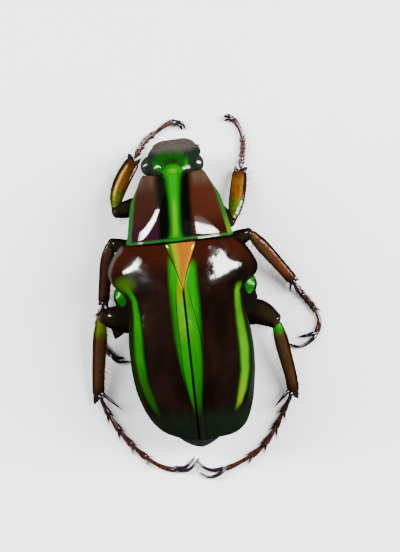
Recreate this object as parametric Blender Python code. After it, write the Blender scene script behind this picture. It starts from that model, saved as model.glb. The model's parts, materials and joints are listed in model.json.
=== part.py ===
"""A flower beetle as a dried specimen with its legs spread, at its real size.

The scene is in metres with +Z up, and the sizes below are in millimetres. The head faces -Y
and the animal's left side is +X. The origin is on the floor under the belly, 4 mm behind the
base of the prothorax. Each sub-part is one closed body, with a thin gap to the next one.
"""

import math

import bmesh
import bpy
from mathutils import Matrix, Vector

MM = 0.001
GAP = 0.26
WELD = 0.002
FUSE_WELD = 0.0005
FLOOR = 0.0
UP = Vector((0.0, 0.0, 1.0))
SIDES = {"left": 1.0, "right": -1.0}

# Trunk, from the front edge of the head to the tip of the last segment.
HEAD_FRONT = -10.5
HEAD_BACK = -8.56
HEAD_TURN = math.radians(4.5)
HEAD_SKEW = 0.16
PROTHORAX_FRONT = -8.3
PROTHORAX_BACK = -3.96
THORAX_FRONT = PROTHORAX_BACK + GAP
THORAX_BACK = 1.9
ABDOMEN_FRONT = THORAX_BACK + GAP
ABDOMEN_BACK = 8.25
PYGIDIUM_FRONT = ABDOMEN_BACK + GAP

# Wing cases.
WING_CASE_FRONT = THORAX_FRONT
WING_CASE_THICKNESS = 0.52
SHOULDER_SKEW = 0.22
SCUTELLUM_HALF_WIDTH = 1.06
SCUTELLUM_TIP = -0.80
SCUTELLUM_CURVE = 1.33
SCUTELLUM_THICKNESS = 0.55
SCUTELLUM_CUT = 0.30
SCUTELLUM_RISE = 0.02
SCUTELLUM_SIDES = 16
SCUTELLUM_RINGS = 6
# Exponents of the scutellum's rounded section, across it and through it.
SCUTELLUM_SECTION = (0.6, 0.45)

# Outer profile across a wing case: two exponents along it, and how they change at the shoulder.
PROFILE = (3.4, 0.55)
SHOULDER_PROFILE = (-0.6, 0.03)
SKEW_FADE_START = 4.0
SKEW_FADE_LENGTH = 7.0
SHOULDER_PLACE = 1.2
SHOULDER_LENGTH = 1.3

# Mesh density: sides of a ring and rings along a piece.
TRUNK_SIDES = 24
LIMB_SIDES = 10
TOE_SIDES = 6
SPINE_SIDES = 5

# Distance from the front along the trunk, half width, top, side and bottom heights.
HEAD_ROWS = (
    (0.00, 0.80, 3.05, 2.85, 2.62),
    (0.08, 1.05, 3.12, 2.80, 2.52),
    (0.25, 1.30, 3.25, 2.78, 2.40),
    (0.50, 1.50, 3.45, 2.80, 2.32),
    (0.82, 1.62, 3.72, 2.90, 2.25),
    (1.00, 1.46, 3.90, 2.98, 2.22),
    (1.35, 1.42, 4.20, 3.10, 2.15),
    (1.70, 1.44, 4.38, 3.20, 2.10),
    (1.94, 1.50, 4.44, 3.25, 2.08),
)
PROTHORAX_ROWS = (
    (0.00, 1.93, 4.72, 3.60, 2.20),
    (0.20, 2.10, 4.86, 3.55, 2.00),
    (0.45, 2.26, 5.02, 3.50, 1.90),
    (1.05, 2.62, 5.35, 3.38, 1.80),
    (1.60, 2.90, 5.58, 3.30, 1.78),
    (2.30, 3.08, 5.80, 3.22, 1.78),
    (3.10, 3.24, 5.95, 3.18, 1.82),
    (3.80, 3.37, 6.02, 3.16, 1.95),
    (4.20, 3.46, 5.98, 3.15, 2.10),
    (4.34, 3.40, 5.86, 3.20, 2.25),
)
ABDOMEN_ROWS = (
    (0.00, 3.06, 5.16, 3.00, 1.52),
    (0.70, 3.10, 5.12, 2.92, 1.46),
    (0.90, 3.12, 5.10, 2.90, 0.60),
    (1.80, 3.12, 4.98, 2.82, 0.44),
    (2.80, 3.06, 4.70, 2.72, 0.52),
    (3.80, 2.84, 4.30, 2.62, 0.78),
    (4.80, 2.40, 3.76, 2.52, 1.12),
    (5.60, 1.85, 3.24, 2.46, 1.48),
    (6.09, 1.40, 2.86, 2.40, 1.72),
)
PYGIDIUM_ROWS = (
    (0.00, 1.45, 2.62, 2.20, 1.78),
    (0.30, 1.30, 2.64, 2.16, 1.66),
    (0.56, 1.02, 2.52, 2.08, 1.62),
    (0.78, 0.66, 2.36, 2.00, 1.66),
    (0.95, 0.26, 2.16, 1.96, 1.76),
)
VENTRITE_GROOVES = (1.75, 2.75, 3.75, 4.75)
GROOVE_DEPTH = 0.07
GROOVE_REACH = 0.13

# Wing cases: distance from the front, half width, height of the middle and of the edge.
WING_CASE_ROWS = (
    (0.00, 3.82, 5.98, 3.15),
    (0.20, 4.08, 6.05, 3.00),
    (0.55, 4.40, 6.11, 2.88),
    (1.00, 4.68, 6.16, 2.82),
    (1.50, 4.84, 6.20, 2.84),
    (2.00, 4.80, 6.23, 2.94),
    (2.45, 4.58, 6.26, 3.10),
    (2.80, 4.28, 6.27, 3.24),
    (3.15, 3.96, 6.28, 3.34),
    (3.60, 3.79, 6.29, 3.36),
    (4.20, 3.77, 6.29, 3.30),
    (4.80, 3.84, 6.28, 3.20),
    (5.70, 3.97, 6.23, 3.06),
    (6.70, 4.03, 6.12, 2.96),
    (7.70, 4.02, 5.94, 2.90),
    (8.60, 3.94, 5.70, 2.86),
    (9.40, 3.80, 5.40, 2.82),
    (10.20, 3.54, 5.00, 2.78),
    (10.90, 3.22, 4.58, 2.74),
    (11.50, 2.82, 4.18, 2.72),
    (11.95, 2.36, 3.84, 2.72),
    (12.25, 1.84, 3.60, 2.74),
    (12.45, 1.28, 3.44, 2.80),
    (12.58, 0.66, 3.34, 2.92),
    (12.62, 0.20, 3.31, 3.05),
)
HUMERAL_CALLUS = (4.05, -2.45, 0.95, 0.30)
APICAL_CALLUS = (2.15, 6.60, 0.80, 0.14)

# How much wider the right wing case ends than the left one, by distance from the front.
APEX_SPREAD = (
    (0.0, 0.0), (9.2, 0.0), (10.2, 0.14), (10.9, 0.26), (11.5, 0.42), (11.95, 0.60), (12.25, 0.78),
    (12.45, 0.98), (12.58, 1.10), (12.62, 1.10),
)

# Middle body: distance from the front, then half widths and heights up the half section.
THORAX_ROWS = (
    (0.00, ((0.6, 2.05), (1.7, 2.20), (3.50, 2.36), (3.58, 2.60), (2.75, 3.4), (1.7, 4.92), (0.0, 5.14))),
    (0.75, ((0.6, 1.85), (1.8, 2.12), (3.70, 2.34), (3.80, 2.56), (3.15, 3.6), (1.9, 4.96), (0.0, 5.22))),
    (1.25, ((0.8, 1.75), (1.9, 2.00), (3.74, 2.28), (3.88, 2.52), (3.35, 3.6), (2.0, 5.00), (0.0, 5.26))),
    (1.50, ((1.3, 0.20), (2.2, 0.75), (3.76, 1.90), (3.94, 2.48), (3.40, 3.7), (2.0, 5.02), (0.0, 5.28))),
    (1.75, ((1.5, 0.00), (2.4, 0.50), (3.88, 1.60), (4.06, 2.38), (3.40, 3.7), (2.0, 5.02), (0.0, 5.28))),
    (2.50, ((1.5, 0.00), (2.6, 0.50), (4.25, 1.60), (4.50, 2.32), (3.25, 3.5), (2.0, 5.02), (0.0, 5.28))),
    (3.00, ((1.5, 0.00), (2.6, 0.60), (4.36, 1.80), (4.60, 2.46), (3.05, 3.3), (2.0, 5.00), (0.0, 5.28))),
    (3.45, ((1.5, 0.00), (2.4, 0.70), (4.10, 2.16), (4.42, 2.50), (2.85, 3.2), (1.9, 4.98), (0.0, 5.28))),
    (3.90, ((1.5, 0.00), (2.1, 0.90), (4.15, 2.20), (4.46, 2.50), (2.80, 3.2), (1.9, 4.96), (0.0, 5.27))),
    (4.60, ((1.5, 0.00), (1.9, 1.20), (3.95, 2.22), (4.26, 2.50), (2.80, 3.3), (1.9, 4.94), (0.0, 5.26))),
    (4.85, ((1.4, 1.48), (2.0, 1.60), (3.70, 2.24), (4.00, 2.50), (2.80, 3.4), (1.9, 4.92), (0.0, 5.24))),
    (5.60, ((1.4, 1.52), (2.0, 1.65), (2.90, 2.40), (3.02, 2.80), (2.80, 3.7), (1.9, 4.88), (0.0, 5.20))),
)

# Legs: the femur's line from hip to knee, the knee and the tibia's line to the ankle, the foot's
# line on the floor, the tips of teeth and spurs, and where each claw bends and ends. A tooth
# starts with its share of the tibia.
LEGS = {
    "fore_left": {
        "femur": ((1.86, -6.66, 1.10), (2.90, -6.48, 1.52), (3.90, -6.36, 1.90)),
        "knee": (3.96, -6.30, 1.90),
        "tibia": ((3.74, -7.40, 1.50), (3.26, -8.40, 1.12), (2.52, -9.42, 0.66)),
        "toes": ((2.38, -9.76), (1.95, -10.22), (1.49, -10.76), (0.84, -11.17), (0.10, -11.58)),
        "teeth": ((0.98, 2.76, -10.04, 0.50), (0.78, 3.30, -9.20, 0.75)),
        "spurs": ((1.90, -9.62, 0.62),),
        "claws": (((-0.86, -11.66), (-1.15, -11.24)), ((-0.74, -11.50), (-0.92, -11.16))),
    },
    "fore_right": {
        "femur": ((-1.80, -6.42, 1.10), (-2.62, -5.62, 1.52), (-3.40, -4.88, 1.90)),
        "knee": (-3.44, -4.82, 1.90),
        "tibia": ((-3.84, -5.90, 1.50), (-4.12, -6.90, 1.12), (-4.36, -8.04, 0.66)),
        "toes": ((-4.46, -8.40), (-4.62, -9.07), (-4.76, -9.90), (-4.70, -10.68), (-4.50, -11.16)),
        "teeth": ((0.98, -4.92, -8.32, 0.50), (0.76, -4.86, -7.40, 0.80)),
        "spurs": ((-3.98, -8.52, 0.62),),
        "claws": (((-4.04, -11.78), (-3.70, -11.74)), ((-4.00, -11.50), (-3.74, -11.42))),
    },
    "mid_left": {
        "femur": ((1.98, -3.16, 1.00), (3.22, -3.72, 1.52), (4.46, -4.26, 1.95)),
        "knee": (4.50, -4.30, 1.95),
        "tibia": ((4.96, -2.80, 1.44), (5.16, -1.80, 1.08), (5.36, -0.70, 0.66)),
        "toes": ((5.48, -0.33), (5.76, 0.36), (5.88, 1.06), (5.80, 1.86), (5.52, 2.50)),
        "teeth": ((0.62, 5.60, -1.45, 1.05), (0.99, 5.84, -0.42, 0.62)),
        "spurs": ((5.04, 0.20, 0.95), (5.46, 0.34, 1.05)),
        "claws": (((4.80, 3.44), (4.08, 3.46)), ((4.90, 3.16), (4.44, 3.18))),
    },
    "mid_right": {
        "femur": ((-1.98, -3.10, 1.00), (-3.26, -3.54, 1.52), (-4.52, -3.98, 1.95)),
        "knee": (-4.58, -4.02, 1.95),
        "tibia": ((-5.58, -2.66, 1.46), (-6.20, -1.84, 1.14), (-6.98, -0.80, 0.66)),
        "toes": ((-7.20, -0.44), (-7.48, 0.24), (-7.93, 0.87), (-8.34, 1.60), (-8.44, 2.36)),
        "teeth": ((0.62, -6.56, -1.84, 1.05), (0.99, -7.50, -0.72, 0.62)),
        "spurs": ((-6.80, 0.22, 0.95), (-7.16, 0.32, 1.05)),
        "claws": (((-7.92, 3.36), (-7.05, 3.70), (-6.28, 3.40)), ((-7.80, 2.98), (-7.04, 3.06))),
    },
    "hind_left": {
        "femur": ((2.76, 1.60, 0.95), (4.20, 1.00, 1.50), (5.50, 0.44, 2.00)),
        "knee": (5.62, 0.38, 2.00),
        "tibia": ((6.02, 2.75, 1.32), (6.22, 4.10, 0.96), (6.36, 5.24, 0.66)),
        "toes": ((6.28, 5.64), (5.92, 6.56), (5.44, 7.58), (4.86, 8.52), (4.20, 9.34), (3.50, 10.02),
                 (2.42, 10.66)),
        "teeth": ((0.50, 6.54, 2.84, 1.30), (0.99, 6.74, 6.00, 0.62)),
        "spurs": ((4.92, 6.60, 0.95), (5.74, 6.74, 1.15)),
        "claws": (((1.26, 10.96), (0.86, 10.62), (0.72, 10.20)),
                  ((1.40, 10.72), (1.10, 10.42), (0.98, 10.10))),
    },
    "hind_right": {
        "femur": ((-2.72, 1.36, 0.95), (-4.45, 1.12, 1.50), (-5.52, 1.72, 2.00)),
        "knee": (-5.66, 1.84, 2.00),
        "tibia": ((-6.04, 4.30, 1.24), (-6.22, 5.50, 0.90), (-6.28, 6.42, 0.66)),
        "toes": ((-6.16, 6.84), (-5.50, 7.78), (-4.95, 8.70), (-4.34, 9.50), (-3.60, 10.16), (-2.68, 10.66),
                 (-1.80, 10.98)),
        "teeth": ((0.50, -6.46, 4.20, 1.30), (0.99, -6.58, 7.06, 0.62)),
        "spurs": ((-4.88, 7.50, 0.95), (-5.44, 7.90, 1.15)),
        "claws": (((-0.52, 11.12), (-0.08, 10.84), (0.10, 10.36)),
                  ((-0.90, 11.46), (-0.24, 11.54), (0.40, 11.18))),
    },
}

# By pair: the coxa's centre and radii, femur width and depth, tibia width and depth, the ends
# of the toe joints as shares of the foot, and the length of its spines.
PAIRS = {
    "fore": {
        "coxa": (1.05, -6.70, 0.98), "coxa_radii": (0.66, 0.50, 0.58),
        "femur": (1.15, 0.95), "tibia": (0.90, 0.60),
        "joints": (0.0, 0.15, 0.29, 0.43, 0.57, 1.0), "spine": 0.42,
    },
    "mid": {
        "coxa": (1.12, -3.08, 0.92), "coxa_radii": (0.72, 0.50, 0.62),
        "femur": (1.10, 0.95), "tibia": (0.66, 0.60),
        "joints": (0.0, 0.14, 0.28, 0.42, 0.56, 1.0), "spine": 0.60,
    },
    "hind": {
        "coxa": (1.44, 1.98, 0.72), "coxa_radii": (1.14, 0.52, 0.46),
        "femur": (1.50, 0.95), "tibia": (0.76, 0.62),
        "joints": (0.0, 0.18, 0.36, 0.54, 0.72, 1.0), "spine": 0.75,
    },
}

# Limbs: shares along a piece with the width and depth there, for femur and tibia as shares of
# the pair's own, and the places along a piece where it has a ring of corners.
FEMUR_SHAPE = ((0.0, 0.55, 0.62), (0.08, 0.78, 0.80), (0.35, 1.0, 1.0), (0.7, 0.86, 0.88),
               (0.93, 0.66, 0.72), (1.0, 0.42, 0.50))
FEMUR_RINGS = (0.0, 0.08, 0.2, 0.4, 0.6, 0.8, 0.93, 1.0)
TIBIA_SHAPE = ((0.0, 0.78, 0.86), (0.12, 0.84, 0.90), (0.45, 1.0, 1.0), (0.9, 1.02, 1.0), (1.0, 0.90, 0.90))
TIBIA_RINGS = (0.0, 0.1, 0.25, 0.45, 0.65, 0.82, 0.94, 1.0)
KNEE_CLEARANCE = 0.42
TOE_SHAPE = ((0.03, 0.48), (0.55, 0.54), (0.97, 0.62))
TOE_HEIGHT = 0.25
ANKLE_HEIGHT = 0.46
TOE_SPINE_RADIUS = 0.15
TOE_SPINE_ROOT = 0.06
TOE_SPINE_LEAN = 0.75
TOE_SPINE_RISE = 0.02
TOE_JOINT_BACK = 0.015
TOE_JOINT_AHEAD = 0.01
SHORT_SPINE = 0.75
TOOTH_RADIUS = 0.24
TOOTH_LEAN = 0.05
SPUR_RADIUS = 0.15
SPUR_LIFT = 0.08
SPUR_PLACE = 0.93
CLAW_SIZES = ((0.0, 0.42, 0.42), (0.35, 0.38, 0.40), (0.7, 0.28, 0.30), (1.0, 0.08, 0.08))
CLAW_RINGS = (0.0, 0.35, 0.68, 1.0)
CLAW_HUB = (0.24, 0.24, 0.23)
CLAW_TIP_HEIGHT = 0.20

# Head: eyes, feelers and mouthparts.
EYE_PLACE = (1.62, -9.06, 3.20)
EYE_RADII = (0.50, 0.47, 0.50)
EYE_CUT = 0.06
FEELER_STEM = ((0.80, -8.80, 1.80), (1.00, -9.08, 1.74))
FEELER_ELBOWS = {"left": (1.06, -9.38, 1.66), "right": (-1.24, -9.40, 1.74)}
FEELER_SIZES = ((0.0, 0.50, 0.50), (0.5, 0.54, 0.54), (1.0, 0.50, 0.50))
FEELER_RINGS = (0.0, 0.35, 0.7, 1.0)
CLUB_LENGTH = 0.72
CLUB_STEP = 0.05
LEAF_SPREAD = 0.15
LEAF_SIZES = ((0.0, 0.42, 0.26), (0.4, 0.56, 0.30), (0.85, 0.44, 0.26), (1.0, 0.14, 0.12))
MOUTH_PLACE = (0.0, -9.62, 1.72)
MOUTH_RADII = (0.52, 0.60, 0.28)
PALP_LINE = ((0.25, -9.85, 1.75), (0.42, -10.05, 1.72), (0.36, -10.26, 1.86))
PALP_SIZES = ((0.0, 0.30, 0.30), (0.6, 0.34, 0.34), (1.0, 0.16, 0.16))
PALP_RINGS = (0.0, 0.4, 0.75, 1.0)

# Colour, metallic value and roughness of each material.
COLOURS = {
    "mahogany": ((0.085, 0.020, 0.012), 0.0, 0.30),
    "leg_brown": ((0.180, 0.045, 0.014), 0.0, 0.32),
    "claw_black": ((0.020, 0.010, 0.014), 0.0, 0.28),
    "eye_black": ((0.015, 0.015, 0.017), 0.0, 0.25),
    "head_green": ((0.045, 0.070, 0.035), 0.6, 0.30),
    "belly_green": ((0.030, 0.060, 0.025), 0.6, 0.30),
    "scutellum_orange": ((0.480, 0.200, 0.020), 0.3, 0.30),
    "antenna_red": ((0.250, 0.060, 0.040), 0.0, 0.40),
}


def clear_scene():
    """Empty the scene."""
    for item in list(bpy.data.objects):
        bpy.data.objects.remove(item, do_unlink=True)


def make_material(name):
    """Return the named material, made once from COLOURS."""
    found = bpy.data.materials.get(name)
    if found:
        return found
    colour, metallic, roughness = COLOURS[name]
    material = bpy.data.materials.new(name)
    material.use_nodes = True
    shader = material.node_tree.nodes["Principled BSDF"]
    shader.inputs["Base Color"].default_value = (*colour, 1.0)
    shader.inputs["Metallic"].default_value = metallic
    shader.inputs["Roughness"].default_value = roughness
    return material


def make_node(name, bm, material):
    """Turn a mesh in millimetres into the named object in metres."""
    bmesh.ops.remove_doubles(bm, verts=bm.verts, dist=WELD)
    bmesh.ops.recalc_face_normals(bm, faces=bm.faces)
    bmesh.ops.scale(bm, vec=(MM, MM, MM), verts=bm.verts)
    mesh = bpy.data.meshes.new(name)
    bm.to_mesh(mesh)
    bm.free()
    mesh.materials.append(make_material(material))
    mesh.shade_smooth()
    item = bpy.data.objects.new(name, mesh)
    bpy.context.collection.objects.link(item)
    return item


def read_row(rows, at):
    """Return the smooth values of a table of rows at a distance along it."""
    last = len(rows) - 1
    index = 0
    while index < last - 1 and rows[index + 1][0] < at:
        index += 1
    before = rows[max(index - 1, 0)]
    start = rows[index]
    end = rows[index + 1]
    after = rows[min(index + 2, last)]
    span = end[0] - start[0]
    t = min(max((at - start[0]) / span, 0.0), 1.0)
    values = []
    for k in range(1, len(start)):
        leave = (end[k] - before[k]) / max(end[0] - before[0], WELD) * span
        arrive = (after[k] - start[k]) / max(after[0] - start[0], WELD) * span
        rise = end[k] - start[k]
        if rise == 0.0:
            leave = arrive = 0.0
        limit = 3.0 * abs(rise)
        leave = min(max(leave, -limit), limit)
        arrive = min(max(arrive, -limit), limit)
        values.append(
            start[k] * (2 * t**3 - 3 * t**2 + 1) + end[k] * (3 * t**2 - 2 * t**3)
            + leave * (t**3 - 2 * t**2 + t) + arrive * (t**3 - t**2)
        )
    return values


def curve_point(points, t):
    """Return the point at the fraction t of a smooth curve through the points."""
    rows = []
    run = 0.0
    for index, point in enumerate(points):
        if index:
            run += (Vector(point) - Vector(points[index - 1])).length
        rows.append((run, *point))
    return Vector(read_row(rows, t * run))


def make_sheet(place, around, along):
    """Make a grid whose vertices are placed by a function of two fractions."""
    bm = bmesh.new()
    bmesh.ops.create_grid(bm, x_segments=around, y_segments=along, size=1.0)
    for vert in bm.verts:
        across = (vert.co.x + 1.0) / 2.0
        length = (vert.co.y + 1.0) / 2.0
        vert.co = place(across, length)
    return bm


def close_ends(bm):
    """Weld the seam of a rolled sheet and fill its two end rings."""
    bmesh.ops.remove_doubles(bm, verts=bm.verts, dist=WELD)
    bmesh.ops.holes_fill(bm, edges=bm.edges, sides=0)
    return bm


def power(value, exponent):
    """Raise a sine or cosine to a power and keep its sign."""
    return math.copysign(abs(value) ** exponent, value)


def make_trunk(name, rows, front, material, bulge=0.9, groove=None):
    """Loft a closed trunk piece through rows of oval sections."""
    stations = [row[0] for row in rows]
    if groove:
        stations += [at for g in groove for at in (g - GROOVE_REACH, g, g + GROOVE_REACH)]
        stations = sorted(stations)
    rings = len(stations) - 1

    def place(across, length):
        at = stations[round(length * rings)]
        width, top, side, bottom = read_row(rows, at)
        if groove and min(abs(at - g) for g in groove) < WELD:
            bottom += GROOVE_DEPTH
        angle = 2.0 * math.pi * across
        x = width * power(math.sin(angle), bulge)
        lift = power(math.cos(angle), bulge)
        z = side + lift * ((top - side) if lift > 0 else (side - bottom))
        return Vector((x, front + at, z))

    return make_node(name, close_ends(make_sheet(place, TRUNK_SIDES, rings)), material)


def make_thorax():
    """Loft the middle body, with the flat of its belly on the floor."""
    steps = 14
    flat_share = 2.0 / steps
    rings = len(THORAX_ROWS) - 1

    def place(across, length):
        at, half = THORAX_ROWS[round(length * rings)]
        side = -1.0 if across > 0.5 else 1.0
        t = 1.0 - abs(2.0 * across - 1.0)
        if t < flat_share:
            x = half[0][0] * t / flat_share
            z = half[0][1]
        else:
            rows = [(k, *point) for k, point in enumerate(half)]
            x, z = read_row(rows, (t - flat_share) / (1.0 - flat_share) * (len(half) - 1))
        return Vector((side * x, THORAX_FRONT + at, z))

    return make_node("thorax", close_ends(make_sheet(place, 2 * steps, rings)), "belly_green")


def bell(distance, size):
    """A smooth bump of height one."""
    return math.exp(-((distance / size) ** 2))


def scutellum_half_width(y):
    """Half the width of the scutellum, a long triangle with hollow sides."""
    share = (SCUTELLUM_TIP - y) / (SCUTELLUM_TIP - THORAX_FRONT)
    return SCUTELLUM_HALF_WIDTH * max(share, 0.0) ** SCUTELLUM_CURVE


def wing_case_width(at, side):
    """Half width of a wing case at a distance from its front."""
    spread = read_row(APEX_SPREAD, at)[0] if side < 0.0 else 0.0
    return read_row(WING_CASE_ROWS, at)[0] + spread


def wing_case_height(x, y):
    """Height of the wing case's outer face; the sign of x tells the side."""
    back = y - WING_CASE_FRONT
    top, edge = read_row(WING_CASE_ROWS, back)[1:]
    reach = min(abs(x) / wing_case_width(back, math.copysign(1.0, x)), 1.0)
    shoulder = bell(back - SHOULDER_PLACE, SHOULDER_LENGTH)
    flat, round_off = (base + shoulder * more for base, more in zip(PROFILE, SHOULDER_PROFILE))
    height = edge + (top - edge) * (1.0 - reach**flat) ** round_off
    for at_x, at_y, size, rise in (HUMERAL_CALLUS, APICAL_CALLUS):
        height += rise * bell(math.hypot(abs(x) - at_x, y - at_y), size)
    return height


def make_wing_case(name, side):
    """Make one wing case as a curved sheet with a solid thickness."""
    across_count = 11
    rings = len(WING_CASE_ROWS) - 1

    def place(across, length):
        at = WING_CASE_ROWS[round(length * rings)][0]
        y = WING_CASE_FRONT + at
        width = wing_case_width(at, side)
        seam_gap = GAP if y < SCUTELLUM_TIP else GAP / 2.0
        seam = min(seam_gap + scutellum_half_width(y), width)
        turn = math.sin(across * math.pi / 2.0)
        x = seam + (width - seam) * turn
        z = wing_case_height(side * x, y)
        fade = max(1.0 - max(at - SKEW_FADE_START, 0.0) / SKEW_FADE_LENGTH, 0.0)
        skew = side * SHOULDER_SKEW * turn**2 * fade
        return Vector((side * x, y - skew, z))

    bm = make_sheet(place, across_count, rings)
    bmesh.ops.remove_doubles(bm, verts=bm.verts, dist=WELD)
    item = make_node(name, bm, "mahogany")
    face_up(item)
    shell = item.modifiers.new("Thickness", "SOLIDIFY")
    shell.thickness = WING_CASE_THICKNESS * MM
    shell.offset = -1.0
    shell.use_rim = True
    return item


def face_up(item):
    """Turn an open sheet's faces upward."""
    mesh = item.data
    rising = sum(face.normal.z * face.area for face in mesh.polygons)
    if rising < 0.0:
        mesh.flip_normals()


def make_scutellum():
    """Make the long triangular plate between the bases of the wing cases."""
    square, flat = SCUTELLUM_SECTION

    def place(across, length):
        y = THORAX_FRONT + (SCUTELLUM_TIP - THORAX_FRONT - SCUTELLUM_CUT) * length
        width = scutellum_half_width(y)
        top = wing_case_height(0.0, y) + SCUTELLUM_RISE
        angle = 2.0 * math.pi * across
        x = width * power(math.sin(angle), square)
        z = top - SCUTELLUM_THICKNESS / 2.0 * (1.0 - power(math.cos(angle), flat))
        return Vector((x, y, z))

    body = close_ends(make_sheet(place, SCUTELLUM_SIDES, SCUTELLUM_RINGS))
    return make_node("scutellum", body, "scutellum_orange")


def make_ball(name, centre, radii, material, around=12, along=6):
    """Make an ellipsoid."""
    bm = bmesh.new()
    bmesh.ops.create_uvsphere(bm, u_segments=around, v_segments=along, radius=1.0)
    bmesh.ops.scale(bm, vec=radii, verts=bm.verts)
    bmesh.ops.translate(bm, vec=centre, verts=bm.verts)
    return make_node(name, bm, material)


def make_tube(name, points, sizes, material, sides=LIMB_SIDES, stations=None):
    """Make a closed tube along a smooth curve, its width and depth read from rows of sizes."""
    stations = stations or [row[0] for row in sizes]
    rings = len(stations) - 1
    step = 0.01

    def place(across, length):
        t = stations[round(length * rings)]
        centre = curve_point(points, t)
        ahead = curve_point(points, min(t + step, 1.0)) - curve_point(points, max(t - step, 0.0))
        ahead.normalize()
        level = ahead.cross(UP).normalized()
        upward = level.cross(ahead)
        width, depth = read_row(sizes, t)
        angle = 2.0 * math.pi * across
        point = centre + level * (width / 2.0 * math.cos(angle)) + upward * (depth / 2.0 * math.sin(angle))
        point.z = max(point.z, FLOOR)
        return point

    return make_node(name, close_ends(make_sheet(place, sides, rings)), material)


def make_spine(root, tip, radius):
    """Make a cone from its sunk root to its tip, as a loose piece to be fused."""
    root = Vector(root)
    tip = Vector(tip)
    length = (tip - root).length
    bm = bmesh.new()
    bmesh.ops.create_cone(bm, cap_ends=True, segments=SPINE_SIDES, radius1=radius,
                          radius2=radius * 0.15, depth=length)
    turn = (tip - root).to_track_quat("Z", "Y").to_matrix().to_4x4()
    bmesh.ops.transform(bm, matrix=Matrix.Translation((root + tip) / 2.0) @ turn, verts=bm.verts)
    return make_node("spine", bm, "claw_black")


def keep_largest_surface(bm):
    """Remove every connected surface of a mesh but the largest."""
    left = set(bm.faces)
    groups = []
    while left:
        start = left.pop()
        group = {start}
        reached = [start]
        while reached:
            face = reached.pop()
            for edge in face.edges:
                for other in edge.link_faces:
                    if other in left:
                        left.remove(other)
                        group.add(other)
                        reached.append(other)
        groups.append(group)
    groups.sort(key=lambda group: sum(face.calc_area() for face in group), reverse=True)
    for group in groups[1:]:
        bmesh.ops.delete(bm, geom=list(group), context="FACES")


def united(item, group, solver):
    """Return the union of an object and a collection's objects, as one welded surface."""
    union = item.modifiers.new("Union", "BOOLEAN")
    union.operation = "UNION"
    union.operand_type = "COLLECTION"
    union.collection = group
    union.solver = solver
    union.use_self = solver == "EXACT"
    bpy.context.view_layer.update()
    graph = bpy.context.evaluated_depsgraph_get()
    joined = bpy.data.meshes.new_from_object(item.evaluated_get(graph))
    item.modifiers.remove(union)
    bm = bmesh.new()
    bm.from_mesh(joined)
    bpy.data.meshes.remove(joined)
    bmesh.ops.triangulate(bm, faces=bm.faces)
    bmesh.ops.remove_doubles(bm, verts=bm.verts, dist=FUSE_WELD * MM)
    bmesh.ops.dissolve_degenerate(bm, dist=FUSE_WELD * MM, edges=bm.edges)
    keep_largest_surface(bm)
    return bm


def fuse(item, pieces):
    """Join closed pieces to an object with one Boolean union and remove them."""
    if not pieces:
        return item
    group = bpy.data.collections.new(item.name + "_pieces")
    bpy.context.scene.collection.children.link(group)
    for piece in pieces:
        bpy.context.collection.objects.unlink(piece)
        group.objects.link(piece)
    bm = united(item, group, "EXACT")
    if not all(edge.is_manifold for edge in bm.edges):
        bm.free()
        bm = united(item, group, "MANIFOLD")
    bm.to_mesh(item.data)
    bm.free()
    item.data.shade_smooth()
    for piece in list(group.objects):
        bpy.data.objects.remove(piece, do_unlink=True)
    bpy.data.collections.remove(group)
    return item


def make_eye(name, side):
    """Make one eye as a dome with a flat inner face beside the head."""
    bm = bmesh.new()
    bmesh.ops.create_uvsphere(bm, u_segments=12, v_segments=8, radius=1.0)
    bmesh.ops.scale(bm, vec=EYE_RADII, verts=bm.verts)
    everything = bm.verts[:] + bm.edges[:] + bm.faces[:]
    bmesh.ops.bisect_plane(bm, geom=everything, plane_co=(EYE_CUT, 0, 0), plane_no=(1, 0, 0),
                           clear_inner=True)
    bmesh.ops.holes_fill(bm, edges=bm.edges, sides=0)
    bmesh.ops.scale(bm, vec=(side, 1, 1), verts=bm.verts)
    x, y, z = EYE_PLACE
    bmesh.ops.translate(bm, vec=(side * x, y, z), verts=bm.verts)
    return make_node(name, bm, "eye_black")


def make_feeler(name, side):
    """Make the stalk of one feeler and, beyond a gap, its club of three leaves."""
    elbow = FEELER_ELBOWS[name]
    stem = [(side * x, y, z) for x, y, z in FEELER_STEM]
    stem.append(elbow)
    make_tube("antenna_" + name, stem, FEELER_SIZES, "antenna_red", sides=8, stations=FEELER_RINGS)
    heading = Vector(elbow) - Vector(stem[1])
    heading.z = 0.0
    heading.normalize()
    root = Vector(elbow) + heading * (GAP + CLUB_STEP)
    leaves = []
    for spread in (-LEAF_SPREAD, 0.0, LEAF_SPREAD):
        tip = root + heading * CLUB_LENGTH + UP * spread
        middle = root.lerp(tip, 0.5) + UP * spread * 0.3
        leaves.append(make_tube("leaf", (root, middle, tip), LEAF_SIZES, "antenna_red", sides=8))
    club = leaves.pop(1)
    club.name = "antenna_club_" + name
    fuse(club, leaves)


def make_mouthparts():
    """Make the plate under the mouth with its two palps."""
    plate = make_ball("mouthparts", MOUTH_PLACE, MOUTH_RADII, "mahogany")
    palps = []
    for side in (1.0, -1.0):
        path = [(side * x, y, z) for x, y, z in PALP_LINE]
        palps.append(make_tube("palp", path, PALP_SIZES, "mahogany", sides=6, stations=PALP_RINGS))
    fuse(plate, palps)


def turn_head():
    """Turn the head and what it carries a little to the animal's right."""
    pivot = Vector((0.0, HEAD_BACK * MM, 0.0))
    turn = Matrix.Translation(pivot) @ Matrix.Rotation(-HEAD_TURN, 4, "Z") @ Matrix.Translation(-pivot)
    for item in bpy.data.objects:
        if item.name.startswith(("head", "eye", "antenna", "mouthparts")):
            item.data.transform(turn)


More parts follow.
